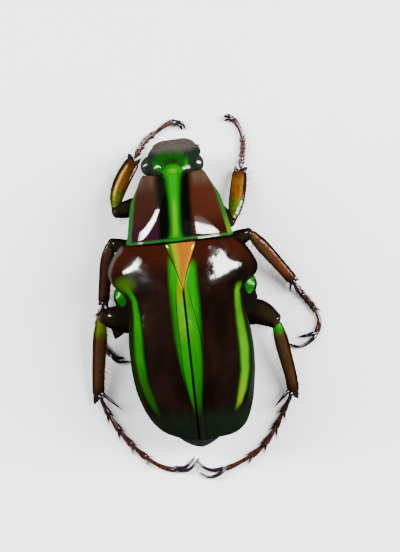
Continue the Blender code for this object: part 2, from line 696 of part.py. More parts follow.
def make_head():
    """Make the head, its eyes, feelers and mouthparts."""
    head = make_trunk("head", HEAD_ROWS, HEAD_FRONT, "head_green", bulge=0.8)
    for vert in head.data.vertices:
        vert.co.y += HEAD_SKEW * vert.co.x * bell(vert.co.y / MM - HEAD_FRONT, 0.9)
    for name, side in SIDES.items():
        make_eye("eye_" + name, side)
        make_feeler(name, side)
    make_mouthparts()
    turn_head()


def make_claw(root, spots):
    """Make one curved claw as a loose piece, from its root through places on the floor."""
    points = [root]
    for k, spot in enumerate(spots):
        share = (k + 1) / len(spots)
        points.append(Vector((*spot, root.z + (CLAW_TIP_HEIGHT - root.z) * share)))
    return make_tube("claw", points, CLAW_SIZES, "claw_black", sides=6, stations=CLAW_RINGS)


def make_foot(name, leg, pair):
    """Make the five toe joints with their spines, lying along the floor, and return their line."""
    points = [Vector((*leg["toes"][0], ANKLE_HEIGHT))]
    points += [Vector((*spot, TOE_HEIGHT)) for spot in leg["toes"][1:]]
    sizes = []
    joints = pair["joints"]
    for start, end in zip(joints, joints[1:]):
        for share, size in TOE_SHAPE:
            sizes.append((start + (end - start) * share, size, size))
    foot = make_tube("tarsus_" + name, points, sizes, "claw_black", sides=TOE_SIDES)
    spines = []
    for joint in joints[1:-1]:
        centre = curve_point(points, joint - TOE_JOINT_BACK)
        ahead = (curve_point(points, joint + TOE_JOINT_AHEAD) - centre).normalized()
        outward = ahead.cross(UP).normalized()
        for side, share in ((1.0, 1.0), (-1.0, SHORT_SPINE)):
            aside = outward * side
            root = centre + aside * TOE_SPINE_ROOT
            tip = root + (ahead + aside) * TOE_SPINE_LEAN * pair["spine"] * share + UP * TOE_SPINE_RISE
            spines.append(make_spine(root, tip, TOE_SPINE_RADIUS))
    fuse(foot, spines)
    return points


def make_leg(name):
    """Make one leg: coxa, femur, tibia with teeth and spurs, foot and claws."""
    leg = LEGS[name]
    pair = PAIRS[name.split("_")[0]]
    side = SIDES[name.split("_")[1]]
    x, y, z = pair["coxa"]
    make_ball("coxa_" + name, (side * x, y, z), pair["coxa_radii"], "mahogany")

    thigh_width, thigh_depth = pair["femur"]
    thigh = [(share, wide * thigh_width, deep * thigh_depth) for share, wide, deep in FEMUR_SHAPE]
    make_tube("femur_" + name, leg["femur"], thigh, "mahogany", stations=FEMUR_RINGS)

    knee = Vector(leg["knee"])
    heading = (Vector(leg["tibia"][0]) - knee).normalized()
    fold = max(heading.dot((Vector(leg["femur"][0]) - knee).normalized()), 0.0)
    start = knee + heading * (thigh_depth * KNEE_CLEARANCE + GAP) * (1.0 + fold)
    shin_width, shin_depth = pair["tibia"]
    shin = [(share, wide * shin_width, deep * shin_depth) for share, wide, deep in TIBIA_SHAPE]
    line = (start, *leg["tibia"])
    tibia = make_tube("tibia_" + name, line, shin, "leg_brown", stations=TIBIA_RINGS)
    spines = []
    for share, *tip in leg["teeth"]:
        spines.append(make_spine(curve_point(line, share - TOOTH_LEAN), tip, TOOTH_RADIUS))
    for tip in leg["spurs"]:
        root = curve_point(line, SPUR_PLACE) + UP * SPUR_LIFT
        spines.append(make_spine(root, tip, SPUR_RADIUS))
    fuse(tibia, spines)

    foot_line = make_foot(name, leg, pair)
    ahead = (foot_line[-1] - foot_line[-2]).normalized()
    root = foot_line[-1] + ahead * (GAP + CLAW_HUB[0] * 2.0 / 3.0)
    claws = [make_claw(root, spots) for spots in leg["claws"]]
    hub = make_ball("claws_" + name, root, CLAW_HUB, "claw_black", around=10, along=6)
    fuse(hub, claws)


def make_beetle():
    """Make every sub-part of the beetle."""
    clear_scene()
    make_head()
    make_trunk("prothorax", PROTHORAX_ROWS, PROTHORAX_FRONT, "mahogany", bulge=0.86)
    make_thorax()
    make_scutellum()
    make_wing_case("elytron_left", 1.0)
    make_wing_case("elytron_right", -1.0)
    make_trunk("abdomen", ABDOMEN_ROWS, ABDOMEN_FRONT, "belly_green", groove=VENTRITE_GROOVES)
    make_trunk("pygidium", PYGIDIUM_ROWS, PYGIDIUM_FRONT, "belly_green")
    for name in LEGS:
        make_leg(name)


make_beetle()
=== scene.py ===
"""A dried flower beetle, dressed plate by plate: shell, eyes, feelers, legs, spines, claws and hair.

Sizes are in millimetres until a piece is finished, then in metres. The head faces -Y, the
animal's left side is +X and the floor is at zero height.
"""

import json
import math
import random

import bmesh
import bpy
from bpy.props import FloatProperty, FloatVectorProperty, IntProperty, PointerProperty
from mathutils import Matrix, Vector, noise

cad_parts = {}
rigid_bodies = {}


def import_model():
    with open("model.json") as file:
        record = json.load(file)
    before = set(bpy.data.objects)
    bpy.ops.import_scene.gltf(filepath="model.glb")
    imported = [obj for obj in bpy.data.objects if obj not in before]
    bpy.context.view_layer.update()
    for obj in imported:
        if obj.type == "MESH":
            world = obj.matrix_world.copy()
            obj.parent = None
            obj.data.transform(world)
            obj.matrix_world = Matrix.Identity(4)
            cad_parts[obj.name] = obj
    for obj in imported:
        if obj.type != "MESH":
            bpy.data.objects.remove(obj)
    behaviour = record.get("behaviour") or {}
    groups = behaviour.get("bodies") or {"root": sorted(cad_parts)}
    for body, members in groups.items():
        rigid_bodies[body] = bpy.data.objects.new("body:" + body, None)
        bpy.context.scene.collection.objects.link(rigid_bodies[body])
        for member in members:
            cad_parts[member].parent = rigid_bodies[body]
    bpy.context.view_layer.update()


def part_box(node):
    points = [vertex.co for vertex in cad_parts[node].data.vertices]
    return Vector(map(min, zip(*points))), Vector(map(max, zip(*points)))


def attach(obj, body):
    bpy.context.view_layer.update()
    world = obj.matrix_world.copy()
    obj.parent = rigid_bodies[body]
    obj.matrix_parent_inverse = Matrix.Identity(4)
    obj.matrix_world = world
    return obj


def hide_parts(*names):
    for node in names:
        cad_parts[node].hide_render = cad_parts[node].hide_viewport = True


bl_info = {
    "name": "Flower Beetle",
    "version": (1, 0, 0),
    "blender": (4, 5, 0),
    "location": "3D View > Sidebar > Beetle",
    "description": "Models a dried flower beetle with its legs spread",
    "category": "Add Mesh",
}

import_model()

MM = 0.001
WELD = 0.0015
BODY = "root"
UP = Vector((0.0, 0.0, 1.0))

# The photograph: its size in pixels, the scale on the animal, and the turn of the body in it.
PHOTO_WIDTH = 400
PHOTO_HEIGHT = 552
MM_PER_PIXEL = 0.0648
BODY_TURN = math.radians(6.2)
VIEW_CENTRE = (-1.05, -1.57, 3.0)
LENS_DISTANCE = 350.0
SENSOR = 36.0

SIDES = {"left": 1.0, "right": -1.0}


def corners(node):
    """Lowest and highest corner of a node, in millimetres."""
    low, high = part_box(node)
    return low / MM, high / MM


NECK = corners("prothorax")[0].y
HEAD_FRONT = NECK - 2.33
THORAX_FRONT = corners("thorax")[0].y
WING_CASE_FRONT = THORAX_FRONT
ABDOMEN_FRONT = corners("abdomen")[0].y
PYGIDIUM_FRONT = corners("pygidium")[0].y
SCUTELLUM_FRONT = corners("scutellum")[0].y
SCUTELLUM_TIP = -0.58
SCUTELLUM_HOLLOW = 1.33
SEAM_SHIFT = 0.12
SEAM_BENDS = (-3.7, -0.7)
SCUTELLUM_HALF_WIDTH = corners("scutellum")[1].x
HEAD_TURN = math.radians(5.5)
HEAD_PIVOT = 0.26
EYE_PLACE = (1.50, -8.92, 3.16)
EYE_RADII = (0.55, 0.62, 0.54)
EYE_SKEW = 0.09

# Each row: place along the piece, shift back, half width, top, side and bottom heights.
HEAD_ROWS = (
    (0.0, 0.00, 0.70, 2.90, 2.86, 2.82),
    (0.5, 0.02, 0.90, 3.00, 2.86, 2.72),
    (1.0, 0.07, 1.06, 3.08, 2.85, 2.60),
    (2.0, 0.20, 1.26, 3.18, 2.84, 2.46),
    (3.0, 0.45, 1.40, 3.36, 2.86, 2.36),
    (4.0, 0.70, 1.58, 3.60, 2.92, 2.28),
    (5.0, 0.95, 1.68, 3.84, 3.00, 2.22),
    (6.0, 1.25, 1.62, 4.08, 3.08, 2.16),
    (7.0, 1.60, 1.56, 4.32, 3.18, 2.10),
    (8.0, 1.95, 1.52, 4.44, 3.25, 2.06),
    (9.0, 2.35, 1.40, 4.42, 3.30, 2.10),
    (10.0, 2.60, 1.10, 4.20, 3.30, 2.30),
)
PROTHORAX_ROWS = (
    (0.0, 0.60, 1.30, 4.20, 3.40, 2.40),
    (1.0, 0.40, 1.66, 4.50, 3.46, 2.20),
    (2.0, 0.08, 1.78, 4.60, 3.58, 2.16),
    (2.5, 0.00, 1.88, 4.68, 3.60, 2.12),
    (3.0, 0.05, 1.98, 4.76, 3.60, 2.06),
    (4.0, 0.24, 2.13, 4.89, 3.55, 1.98),
    (5.0, 0.50, 2.29, 5.05, 3.50, 1.90),
    (6.0, 1.05, 2.62, 5.35, 3.38, 1.80),
    (7.0, 1.60, 2.90, 5.58, 3.30, 1.78),
    (8.0, 2.30, 3.08, 5.80, 3.22, 1.78),
    (9.0, 3.10, 3.24, 5.95, 3.18, 1.82),
    (10.0, 3.80, 3.38, 6.03, 3.16, 1.95),
    (11.0, 4.20, 3.47, 6.02, 3.15, 2.08),
    (12.0, 4.36, 3.48, 5.98, 3.16, 2.16),
    (12.5, 4.42, 3.42, 5.90, 3.18, 2.24),
    (13.0, 4.42, 3.20, 5.70, 3.20, 2.40),
    (14.0, 4.36, 2.50, 5.00, 3.20, 2.70),
)
ABDOMEN_ROWS = (
    (0.0, -0.30, 2.90, 5.00, 3.00, 1.60),
    (1.0, 0.10, 3.16, 5.22, 3.00, 1.30),
    (2.0, 0.70, 3.20, 5.24, 2.94, 0.74),
    (3.0, 1.20, 3.22, 5.22, 2.90, 0.54),
    (4.0, 1.80, 3.22, 5.08, 2.84, 0.46),
    (5.0, 2.80, 3.16, 4.80, 2.74, 0.54),
    (6.0, 3.80, 2.94, 4.40, 2.64, 0.80),
    (7.0, 4.80, 2.52, 3.86, 2.54, 1.14),
    (8.0, 5.60, 2.00, 3.34, 2.48, 1.50),
    (9.0, 6.20, 1.50, 2.90, 2.42, 1.76),
    (10.0, 6.40, 1.10, 2.70, 2.36, 1.92),
)
PYGIDIUM_ROWS = (
    (0.0, -0.42, 1.50, 2.72, 2.22, 1.76),
    (1.0, 0.00, 1.56, 2.70, 2.20, 1.68),
    (2.0, 0.30, 1.34, 2.66, 2.14, 1.62),
    (3.0, 0.56, 1.02, 2.54, 2.06, 1.60),
    (4.0, 0.76, 0.68, 2.38, 2.00, 1.64),
    (5.0, 0.90, 0.36, 2.20, 1.96, 1.74),
    (6.0, 0.97, 0.10, 2.04, 1.94, 1.86),
)
VENTRITE_GROOVES = (1.75, 2.75, 3.75, 4.75, 5.60)

# Each row: distance from the front, half width, height of the middle and of the edge.
WING_CASE_ROWS = (
    (0.00, 3.80, 5.98, 3.15),
    (0.20, 4.08, 6.05, 3.00),
    (0.55, 4.40, 6.11, 2.88),
    (1.00, 4.68, 6.16, 2.82),
    (1.50, 4.84, 6.20, 2.84),
    (2.00, 4.80, 6.23, 2.94),
    (2.45, 4.58, 6.26, 3.10),
    (2.80, 4.28, 6.27, 3.24),
    (3.15, 3.96, 6.28, 3.34),
    (3.60, 3.79, 6.29, 3.36),
    (4.20, 3.77, 6.29, 3.30),
    (4.80, 3.84, 6.28, 3.20),
    (5.70, 3.97, 6.23, 3.06),
    (6.70, 4.03, 6.12, 2.96),
    (7.70, 4.02, 5.94, 2.90),
    (8.60, 3.94, 5.70, 2.86),
    (9.40, 3.80, 5.40, 2.82),
    (10.20, 3.54, 5.00, 2.78),
    (10.90, 3.22, 4.58, 2.74),
    (11.50, 2.82, 4.18, 2.72),
    (11.95, 2.36, 3.84, 2.72),
    (12.25, 1.84, 3.60, 2.74),
    (12.45, 1.28, 3.44, 2.80),
    (12.58, 0.66, 3.34, 2.92),
    (12.62, 0.20, 3.31, 3.05),
)
HUMERAL_CALLUS = (4.05, -2.45, 0.95, 0.30)
APICAL_CALLUS = (2.15, 6.60, 0.80, 0.14)

# How much wider the right wing case ends than the left one, by distance from the front.
APEX_SPREAD = (
    (0.0, 0.0), (9.2, 0.0), (10.2, 0.14), (10.9, 0.26), (11.5, 0.42), (11.95, 0.60), (12.25, 0.78),
    (12.45, 0.98), (12.58, 1.10), (12.62, 1.10),
)

# How far the shoulders lie askew, and where along the wing case that fades.
SHOULDER_SKEW = 0.22
SKEW_FADE_START = 4.0
SKEW_FADE_LENGTH = 7.0

# The arch of a wing case's section, and what the shoulder changes in it.
ARCH_POWER = 3.4
ARCH_ROUNDING = 0.55
SHOULDER_AT = 1.2
SHOULDER_LENGTH = 1.3
SHOULDER_POWER = 0.6
SHOULDER_ROUNDING = 0.03

# Half the gap at the seam, the share where the edge rolls under, and how far in and down it goes.
SEAM_GAP = 0.008
ROLLED_FROM = 0.90
LIP_REACH = 0.36
LIP_DROP = 0.10

# How far the middle of the front edge stands forward, and over which length that fades.
FRONT_LEAD = 0.13
FRONT_LEAD_LENGTH = 0.9

# Each row: distance from the front, then half widths and heights up the half section.
THORAX_ROWS = (
    (-0.34, ((0.0, 2.30), (0.6, 2.30), (1.7, 2.40), (3.05, 2.50), (3.22, 2.70), (3.00, 4.0), (2.0, 5.30),
             (0.0, 5.62))),
    (0.00, ((0.0, 2.05), (0.6, 2.05), (1.7, 2.20), (3.50, 2.36), (3.58, 2.60), (3.15, 4.1), (2.1, 5.45),
            (0.0, 5.80))),
    (0.75, ((0.0, 1.85), (0.6, 1.85), (1.8, 2.12), (3.70, 2.34), (3.80, 2.56), (3.30, 4.1), (2.2, 5.45),
            (0.0, 5.80))),
    (1.25, ((0.0, 1.75), (0.8, 1.75), (1.9, 2.00), (3.74, 2.28), (3.88, 2.52), (3.35, 3.6), (2.0, 5.00),
            (0.0, 5.26))),
    (1.50, ((0.0, 0.20), (1.3, 0.20), (2.2, 0.75), (3.76, 1.90), (3.94, 2.48), (3.40, 3.7), (2.0, 5.02),
            (0.0, 5.28))),
    (1.75, ((0.0, 0.00), (1.5, 0.00), (2.4, 0.50), (3.88, 1.60), (4.06, 2.38), (3.40, 3.7), (2.0, 5.02),
            (0.0, 5.28))),
    (2.50, ((0.0, 0.00), (1.5, 0.00), (2.6, 0.50), (4.25, 1.60), (4.50, 2.32), (3.25, 3.5), (2.0, 5.02),
            (0.0, 5.28))),
    (3.00, ((0.0, 0.00), (1.5, 0.00), (2.6, 0.60), (4.36, 1.80), (4.60, 2.46), (3.05, 3.3), (2.0, 5.00),
            (0.0, 5.28))),
    (3.45, ((0.0, 0.00), (1.5, 0.00), (2.4, 0.70), (4.14, 2.16), (4.48, 2.50), (2.85, 3.2), (1.9, 4.98),
            (0.0, 5.28))),
    (3.90, ((0.0, 0.00), (1.5, 0.00), (2.1, 0.90), (4.20, 2.20), (4.52, 2.50), (2.80, 3.2), (1.9, 4.96),
            (0.0, 5.27))),
    (4.60, ((0.0, 0.00), (1.5, 0.00), (1.9, 1.20), (4.00, 2.22), (4.32, 2.50), (2.80, 3.3), (1.9, 4.94),
            (0.0, 5.26))),
    (4.85, ((0.0, 1.48), (1.4, 1.48), (2.0, 1.60), (3.70, 2.24), (4.00, 2.50), (2.80, 3.4), (1.9, 4.92),
            (0.0, 5.24))),
    (5.60, ((0.0, 1.52), (1.4, 1.52), (2.0, 1.65), (2.90, 2.40), (3.02, 2.80), (2.80, 3.7), (1.9, 4.88),
            (0.0, 5.20))),
)

# Legs, as on the photographed specimen, joint by joint: the femur from hip to knee, the tibia
# from knee to ankle, the foot and its claws. A tooth is its share of the tibia, its width and
# its tip; a spur is its root and its tip.
LEGS = {
    "fore_left": {
        "femur": ((1.86, -6.66, 1.10), (2.92, -6.46, 1.54), (3.98, -6.26, 1.90)),
        "tibia": ((3.98, -6.26, 1.90), (3.74, -7.40, 1.50), (3.24, -8.40, 1.12), (2.44, -9.52, 0.64)),
        "toes": ((2.38, -9.66), (1.95, -10.20), (1.49, -10.76), (0.84, -11.17), (0.26, -11.54),
                 (-0.34, -11.80)),
        "teeth": ((0.97, 0.62, 2.74, -10.06, 0.50), (0.76, 0.50, 3.24, -9.22, 0.75)),
        "spurs": (((2.30, -9.30, 0.70), (1.92, -9.66, 0.60)),),
        "claws": (((-0.36, -11.80), (-0.90, -11.64), (-1.17, -11.22)),
                  ((-0.36, -11.76), (-0.76, -11.52), (-0.94, -11.16))),
    },
    "fore_right": {
        "femur": ((-1.80, -6.42, 1.10), (-2.65, -5.58, 1.54), (-3.46, -4.78, 1.90)),
        "tibia": ((-3.46, -4.78, 1.90), (-3.84, -5.85, 1.50), (-4.12, -6.90, 1.12), (-4.38, -8.14, 0.64)),
        "toes": ((-4.44, -8.28), (-4.62, -9.07), (-4.76, -9.90), (-4.70, -10.68), (-4.49, -11.24),
                 (-4.26, -11.58)),
        "teeth": ((0.97, 0.62, -4.90, -8.30, 0.50), (0.76, 0.50, -4.74, -7.42, 0.80)),
        "spurs": (((-4.28, -7.90, 0.70), (-4.10, -8.44, 0.60)),),
        "claws": (((-4.25, -11.58), (-4.02, -11.79), (-3.70, -11.74)),
                  ((-4.28, -11.52), (-3.98, -11.60), (-3.74, -11.46))),
    },
    "mid_left": {
        "femur": ((1.98, -3.16, 1.00), (3.25, -3.74, 1.52), (4.50, -4.30, 1.95)),
        "tibia": ((4.50, -4.30, 1.95), (4.86, -3.20, 1.60), (5.10, -2.10, 1.20), (5.40, -0.52, 0.60)),
        "toes": ((5.46, -0.33), (5.76, 0.36), (5.88, 1.06), (5.80, 1.86), (5.62, 2.42), (5.34, 2.90)),
        "teeth": ((0.62, 0.40, 5.50, -1.45, 1.05), (0.98, 0.56, 5.76, -0.40, 0.55)),
        "spurs": (((5.28, -0.70, 0.75), (5.08, 0.24, 0.62)), ((5.40, -0.60, 0.68), (5.50, 0.34, 0.45))),
        "claws": (((5.32, 2.92), (4.80, 3.46), (4.06, 3.46)), ((5.30, 2.88), (4.92, 3.20), (4.44, 3.20))),
    },
    "mid_right": {
        "femur": ((-1.98, -3.10, 1.00), (-3.28, -3.56, 1.52), (-4.58, -4.02, 1.95)),
        "tibia": ((-4.58, -4.02, 1.95), (-5.36, -3.00, 1.60), (-6.10, -1.98, 1.20), (-7.06, -0.62, 0.60)),
        "toes": ((-7.14, -0.45), (-7.48, 0.24), (-7.93, 0.87), (-8.34, 1.60), (-8.48, 2.24), (-8.24, 2.92)),
        "teeth": ((0.60, 0.40, -6.48, -1.86, 1.05), (0.98, 0.56, -7.44, -0.66, 0.55)),
        "spurs": (((-6.94, -0.78, 0.75), (-6.78, 0.10, 0.62)), ((-7.06, -0.70, 0.68), (-7.22, 0.24, 0.45))),
        "claws": (((-8.24, 2.92), (-7.90, 3.34), (-7.05, 3.72), (-6.26, 3.40)),
                  ((-8.24, 2.92), (-7.60, 3.02), (-7.02, 3.08))),
    },
    "hind_left": {
        "femur": ((2.76, 1.30, 0.95), (4.30, 0.66, 1.50), (5.62, 0.38, 2.00)),
        "tibia": ((5.62, 0.38, 2.00), (5.80, 1.45, 1.70), (6.02, 2.75, 1.30), (6.22, 4.10, 0.96),
                  (6.38, 5.50, 0.60)),
        "toes": ((6.28, 5.66), (5.92, 6.56), (5.44, 7.58), (4.86, 8.52), (4.20, 9.34), (3.50, 10.02),
                 (2.76, 10.55), (2.02, 10.82)),
        "teeth": ((0.50, 0.36, 6.48, 2.86, 1.30), (0.98, 0.70, 6.72, 6.02, 0.52)),
        "spurs": (((6.16, 5.30, 0.75), (4.90, 6.62, 0.66)), ((6.32, 5.40, 0.66), (5.84, 6.84, 0.46))),
        "claws": (((2.02, 10.72), (1.20, 10.96), (0.62, 10.64), (0.24, 10.20)),
                  ((2.02, 10.68), (1.34, 10.76), (0.86, 10.48), (0.58, 10.12))),
    },
    "hind_right": {
        "femur": ((-2.74, 1.20, 0.95), (-4.45, 1.12, 1.50), (-5.66, 1.90, 2.00)),
        "tibia": ((-5.66, 1.90, 2.00), (-5.84, 3.00, 1.66), (-6.04, 4.30, 1.24), (-6.24, 5.60, 0.86),
                  (-6.30, 6.66, 0.60)),
        "toes": ((-6.14, 6.80), (-5.50, 7.78), (-4.95, 8.70), (-4.34, 9.50), (-3.60, 10.16), (-2.68, 10.66),
                 (-1.74, 11.02), (-1.36, 11.12)),
        "teeth": ((0.50, 0.36, -6.40, 4.20, 1.30), (0.98, 0.66, -6.56, 7.08, 0.52)),
        "spurs": (((-6.00, 6.46, 0.75), (-4.86, 7.54, 0.66)), ((-6.20, 6.56, 0.66), (-5.54, 7.92, 0.46))),
        "claws": (((-1.36, 11.04), (-0.52, 11.12), (0.10, 10.84), (0.48, 10.34)),
                  ((-1.36, 11.10), (-0.84, 11.46), (-0.22, 11.54), (0.42, 11.16))),
    },
}

# By pair: where the coxa starts and how wide it is, the widths and depths of femur and tibia,
# the ends of the toe joints as shares of the foot, and the length of its spines.
PAIRS = {
    "fore": {
        "coxa": (0.45, -6.72, 0.98), "coxa_size": (1.05, 1.10),
        "femur": (1.10, 0.90), "tibia": (0.94, 0.50),
        "joints": (0.0, 0.15, 0.29, 0.43, 0.57, 1.0), "spine": 0.34,
    },
    "mid": {
        "coxa": (0.50, -3.06, 0.92), "coxa_size": (1.02, 1.14),
        "femur": (1.10, 0.90), "tibia": (0.74, 0.50),
        "joints": (0.0, 0.14, 0.28, 0.42, 0.56, 1.0), "spine": 0.60,
    },
    "hind": {
        "coxa": (0.36, 1.98, 0.72), "coxa_size": (1.08, 0.92),
        "femur": (1.56, 0.92), "tibia": (0.78, 0.54),
        "joints": (0.0, 0.18, 0.36, 0.54, 0.72, 1.0), "spine": 0.85,
    },
}

# Middle lines of the plates that the hind coxae carry.
HIND_PLATES = {
    "hind_left": ((3.60, 0.30, 1.10), (4.34, 0.86, 1.24), (4.88, 1.92, 1.30)),
    "hind_right": ((-3.40, 0.40, 1.10), (-3.90, 0.90, 1.24), (-4.26, 1.60, 1.30)),
}
TOE_HEIGHTS = ((0.0, 0.50), (0.2, 0.30), (0.45, 0.22), (1.0, 0.20))

# Width and depth along the small parts, each by its share of the part's length.
HIND_PLATE_SIZES = ((0.0, 0.50, 0.30), (0.3, 0.96, 0.40), (0.7, 0.94, 0.30), (0.88, 0.50, 0.20),
                    (1.0, 0.04, 0.04))
TOE_SIZES = ((0.0, 0.05, 0.05), (0.08, 0.20, 0.20), (0.50, 0.30, 0.29), (0.86, 0.44, 0.36),
             (0.96, 0.40, 0.32), (1.0, 0.08, 0.08))
LAST_TOE_SIZES = ((0.0, 0.05, 0.05), (0.05, 0.20, 0.20), (0.5, 0.27, 0.27), (0.9, 0.35, 0.32),
                  (0.98, 0.28, 0.26), (1.0, 0.06, 0.06))
CLAW_SIZES = ((0.0, 0.08, 0.08), (0.05, 0.24, 0.26), (0.25, 0.26, 0.30), (0.6, 0.20, 0.24),
              (0.85, 0.13, 0.15), (1.0, 0.02, 0.02))
SCAPE_SIZES = ((0.0, 0.10, 0.10), (0.5, 0.24, 0.24), (0.9, 0.30, 0.30), (1.0, 0.05, 0.05))
LEAF_SIZES = ((0.0, 0.10, 0.06), (0.15, 0.30, 0.14), (0.5, 0.42, 0.17), (0.85, 0.34, 0.14),
              (1.0, 0.04, 0.03))
BROW_SIZES = ((0.0, 0.30, 0.18), (0.5, 0.30, 0.16), (0.9, 0.16, 0.10), (1.0, 0.03, 0.03))
PALP_SIZES = ((0.0, 0.14, 0.14), (0.4, 0.22, 0.22), (0.8, 0.24, 0.24), (1.0, 0.05, 0.05))
JAW_SIZES = ((0.0, 0.30, 0.24), (0.5, 0.30, 0.22), (1.0, 0.06, 0.06))

# The spines round the end of a toe joint: place across, share of their length, and drop.
TOE_SPINES = ((1.0, 1.0, 0.0), (0.70, 0.8, -0.06), (0.2, 0.5, -0.05), (-0.9, 0.5, 0.0))

# The lacquer's index, the plain surfaces' shine, and the tilts between which the lacquer fades.
COAT_INDEX = 1.9
PLAIN_SPECULAR = 0.12
GLOSS_TILT = (0.15, 0.32)

# Each lamp: name, heading from the beetle, run of its long side, width and length in metres, power.
LAMPS = (
    ("Left lamp", (0.806, -0.314, 0.500), (0.600, 0.278, -0.715), 0.070, 0.40, 4.6),
    ("Right lamp", (-0.789, -0.116, 0.602), (-0.583, 0.115, -0.458), 0.12, 0.36, 5.2),
)
LAMP_TARGET = (0.0, -2.0, 3.0)

# Hairs on each shin by pair, and on each thigh.
SHIN_HAIRS = {"fore": 26, "mid": 60, "hind": 60}
THIGH_HAIRS = 24

# Materials already made, by the function that makes them and its first value.
MADE = {}


def blend(share, first, second):
    """Return what lies at a share of the way from the first number or wire to the second."""
    return first + share * (second - first)


def pair_of(name):
    """The pair that a leg belongs to."""
    return name.split("_")[0]


def side_of(name):
    """The sign of a leg's side: one for left and minus one for right."""
    return SIDES[name.split("_")[1]]


def read_row(rows, at):
    """Return the smooth values of a table of rows at a distance along it."""
    last = len(rows) - 1
    index = 0
    while index < last - 1 and rows[index + 1][0] < at:
        index += 1
    before = rows[max(index - 1, 0)]
    start = rows[index]
    end = rows[index + 1]
    after = rows[min(index + 2, last)]
    span = end[0] - start[0]
    t = min(max((at - start[0]) / span, 0.0), 1.0)
    values = []
    for k in range(1, len(start)):
        rise = end[k] - start[k]
        leave = (end[k] - before[k]) / max(end[0] - before[0], WELD) * span
        arrive = (after[k] - start[k]) / max(after[0] - start[0], WELD) * span
        limit = 3.0 * abs(rise)
        leave = min(max(leave, -limit), limit)
        arrive = min(max(arrive, -limit), limit)
        values.append(
            start[k] * (2 * t**3 - 3 * t**2 + 1) + end[k] * (3 * t**2 - 2 * t**3)
            + leave * (t**3 - 2 * t**2 + t) + arrive * (t**3 - t**2)
        )
    return values


def curve_rows(points):
    """Return the points as rows of distance along the curve and place."""
    rows = []
    run = 0.0
    for index, point in enumerate(points):
        if index:
            run += (Vector(point) - Vector(points[index - 1])).length
        rows.append((run, *point))
    return rows


def curve_point(rows, t):
    """Return the point at the fraction t of a smooth curve."""
    return Vector(read_row(rows, t * rows[-1][0]))


def bearing(rows, start, end):
    """Return the direction in which a smooth curve runs between two fractions of it."""
    return (curve_point(rows, min(end, 1.0)) - curve_point(rows, max(start, 0.0))).normalized()


def sideways(ahead):
    """Return the level direction square to another."""
    return ahead.cross(UP).normalized()


def power(value, exponent):
    """Raise a sine or cosine to a power and keep its sign."""
    return math.copysign(abs(value) ** exponent, value)


def bell(distance, width):
    """A smooth bump of height one."""
    return math.exp(-((distance / width) ** 2))


def ripple(x, y, wave, height):
    """A gentle unevenness of a length of wave and a height."""
    return height * noise.noise(Vector((x / wave, y / wave, height)))


def grid(place, across, along):
    """Make a grid placed by a step along it and a share across it, both kept as attributes."""
    bm = bmesh.new()
    bmesh.ops.create_grid(bm, x_segments=across, y_segments=along, size=1.0)
    run_layer = bm.verts.layers.float.new("along")
    turn_layer = bm.verts.layers.float.new("around")
    for vert in bm.verts:
        turn = (vert.co.x + 1.0) / 2.0
        run = (vert.co.y + 1.0) / 2.0
        vert[run_layer] = run
        vert[turn_layer] = turn
        vert.co = place(round(run * along), turn)
    return bm


def roll(place, around, along):
    """Make a grid rolled into a closed tube, with its seam welded and its ends filled."""
    bm = grid(place, around, along)
    bmesh.ops.remove_doubles(bm, verts=bm.verts, dist=WELD)
    bmesh.ops.holes_fill(bm, edges=bm.edges, sides=0)
    bmesh.ops.recalc_face_normals(bm, faces=bm.faces)
    return bm


def trunk(rows, front, around, along, bulge=0.9, carve=None):
    """Loft a closed piece of the trunk through rows of oval sections."""
    last = rows[-1][0]
    rings = [read_row(rows, last * k / along) for k in range(along + 1)]

    def place(ring, turn):
        back, width, top, side, bottom = rings[ring]
        angle = 2.0 * math.pi * turn
        x = width * power(math.sin(angle), bulge)
        lift = power(math.cos(angle), bulge)
        z = side + lift * ((top - side) if lift > 0.0 else (side - bottom))
        point = Vector((x, front + back, z))
        if carve:
            carve(point, width, lift)
        return point

    return roll(place, around, along)


def tube(points, sizes, around=12, along=24, keel=0.0, floor=0.0):
    """Make a closed tube along a smooth curve, with its width and depth read from rows."""
    rows = curve_rows(points)
    step = 0.5 / along
    rings = []
    for k in range(along + 1):
        t = 0.5 - 0.5 * math.cos(math.pi * k / along) if sizes[0][1] < 0.1 else k / along
        ahead = bearing(rows, t - step, t + step)
        level = sideways(ahead)
        rings.append((curve_point(rows, t), level, level.cross(ahead), *read_row(sizes, t)))

    def place(ring, turn):
        centre, level, upward, width, depth = rings[ring]
        angle = 2.0 * math.pi * turn
        ridge = 1.0 + keel * bell(math.sin(angle), 0.35)
        point = centre + level * (width / 2.0 * math.cos(angle) * ridge)
        point += upward * (depth / 2.0 * math.sin(angle))
        point.z = max(point.z, floor)
        return point

    return roll(place, around, along)


def spike(root, tip, radius, sag=0.0, around=8):
    """Make a slender spine that bends down or up a little between root and tip."""
    root = Vector(root)
    tip = Vector(tip)
    middle = (root + tip) / 2.0 + UP * sag
    size = 2.0 * radius
    sizes = ((0.0, size, size), (0.3, size * 0.86, size * 0.86), (0.7, size * 0.46, size * 0.46),
             (1.0, size * 0.05, size * 0.05))
    return tube((root, middle, tip), sizes, around=around, along=8)


def ball(centre, radii, around=32, along=20):
    """Make an ellipsoid."""
    bm = bmesh.new()
    bmesh.ops.create_uvsphere(bm, u_segments=around, v_segments=along, radius=1.0)
    bmesh.ops.scale(bm, vec=radii, verts=bm.verts)
    bmesh.ops.translate(bm, vec=centre, verts=bm.verts)
    return bm


def joined(parts):
    """Join meshes into one, each with the number of its material."""
    whole = bmesh.new()
    for bm, number in parts:
        for face in bm.faces:
            face.material_index = number
        part = bpy.data.meshes.new("part")
        bm.to_mesh(part)
        bm.free()
        whole.from_mesh(part)
        bpy.data.meshes.remove(part)
    return whole


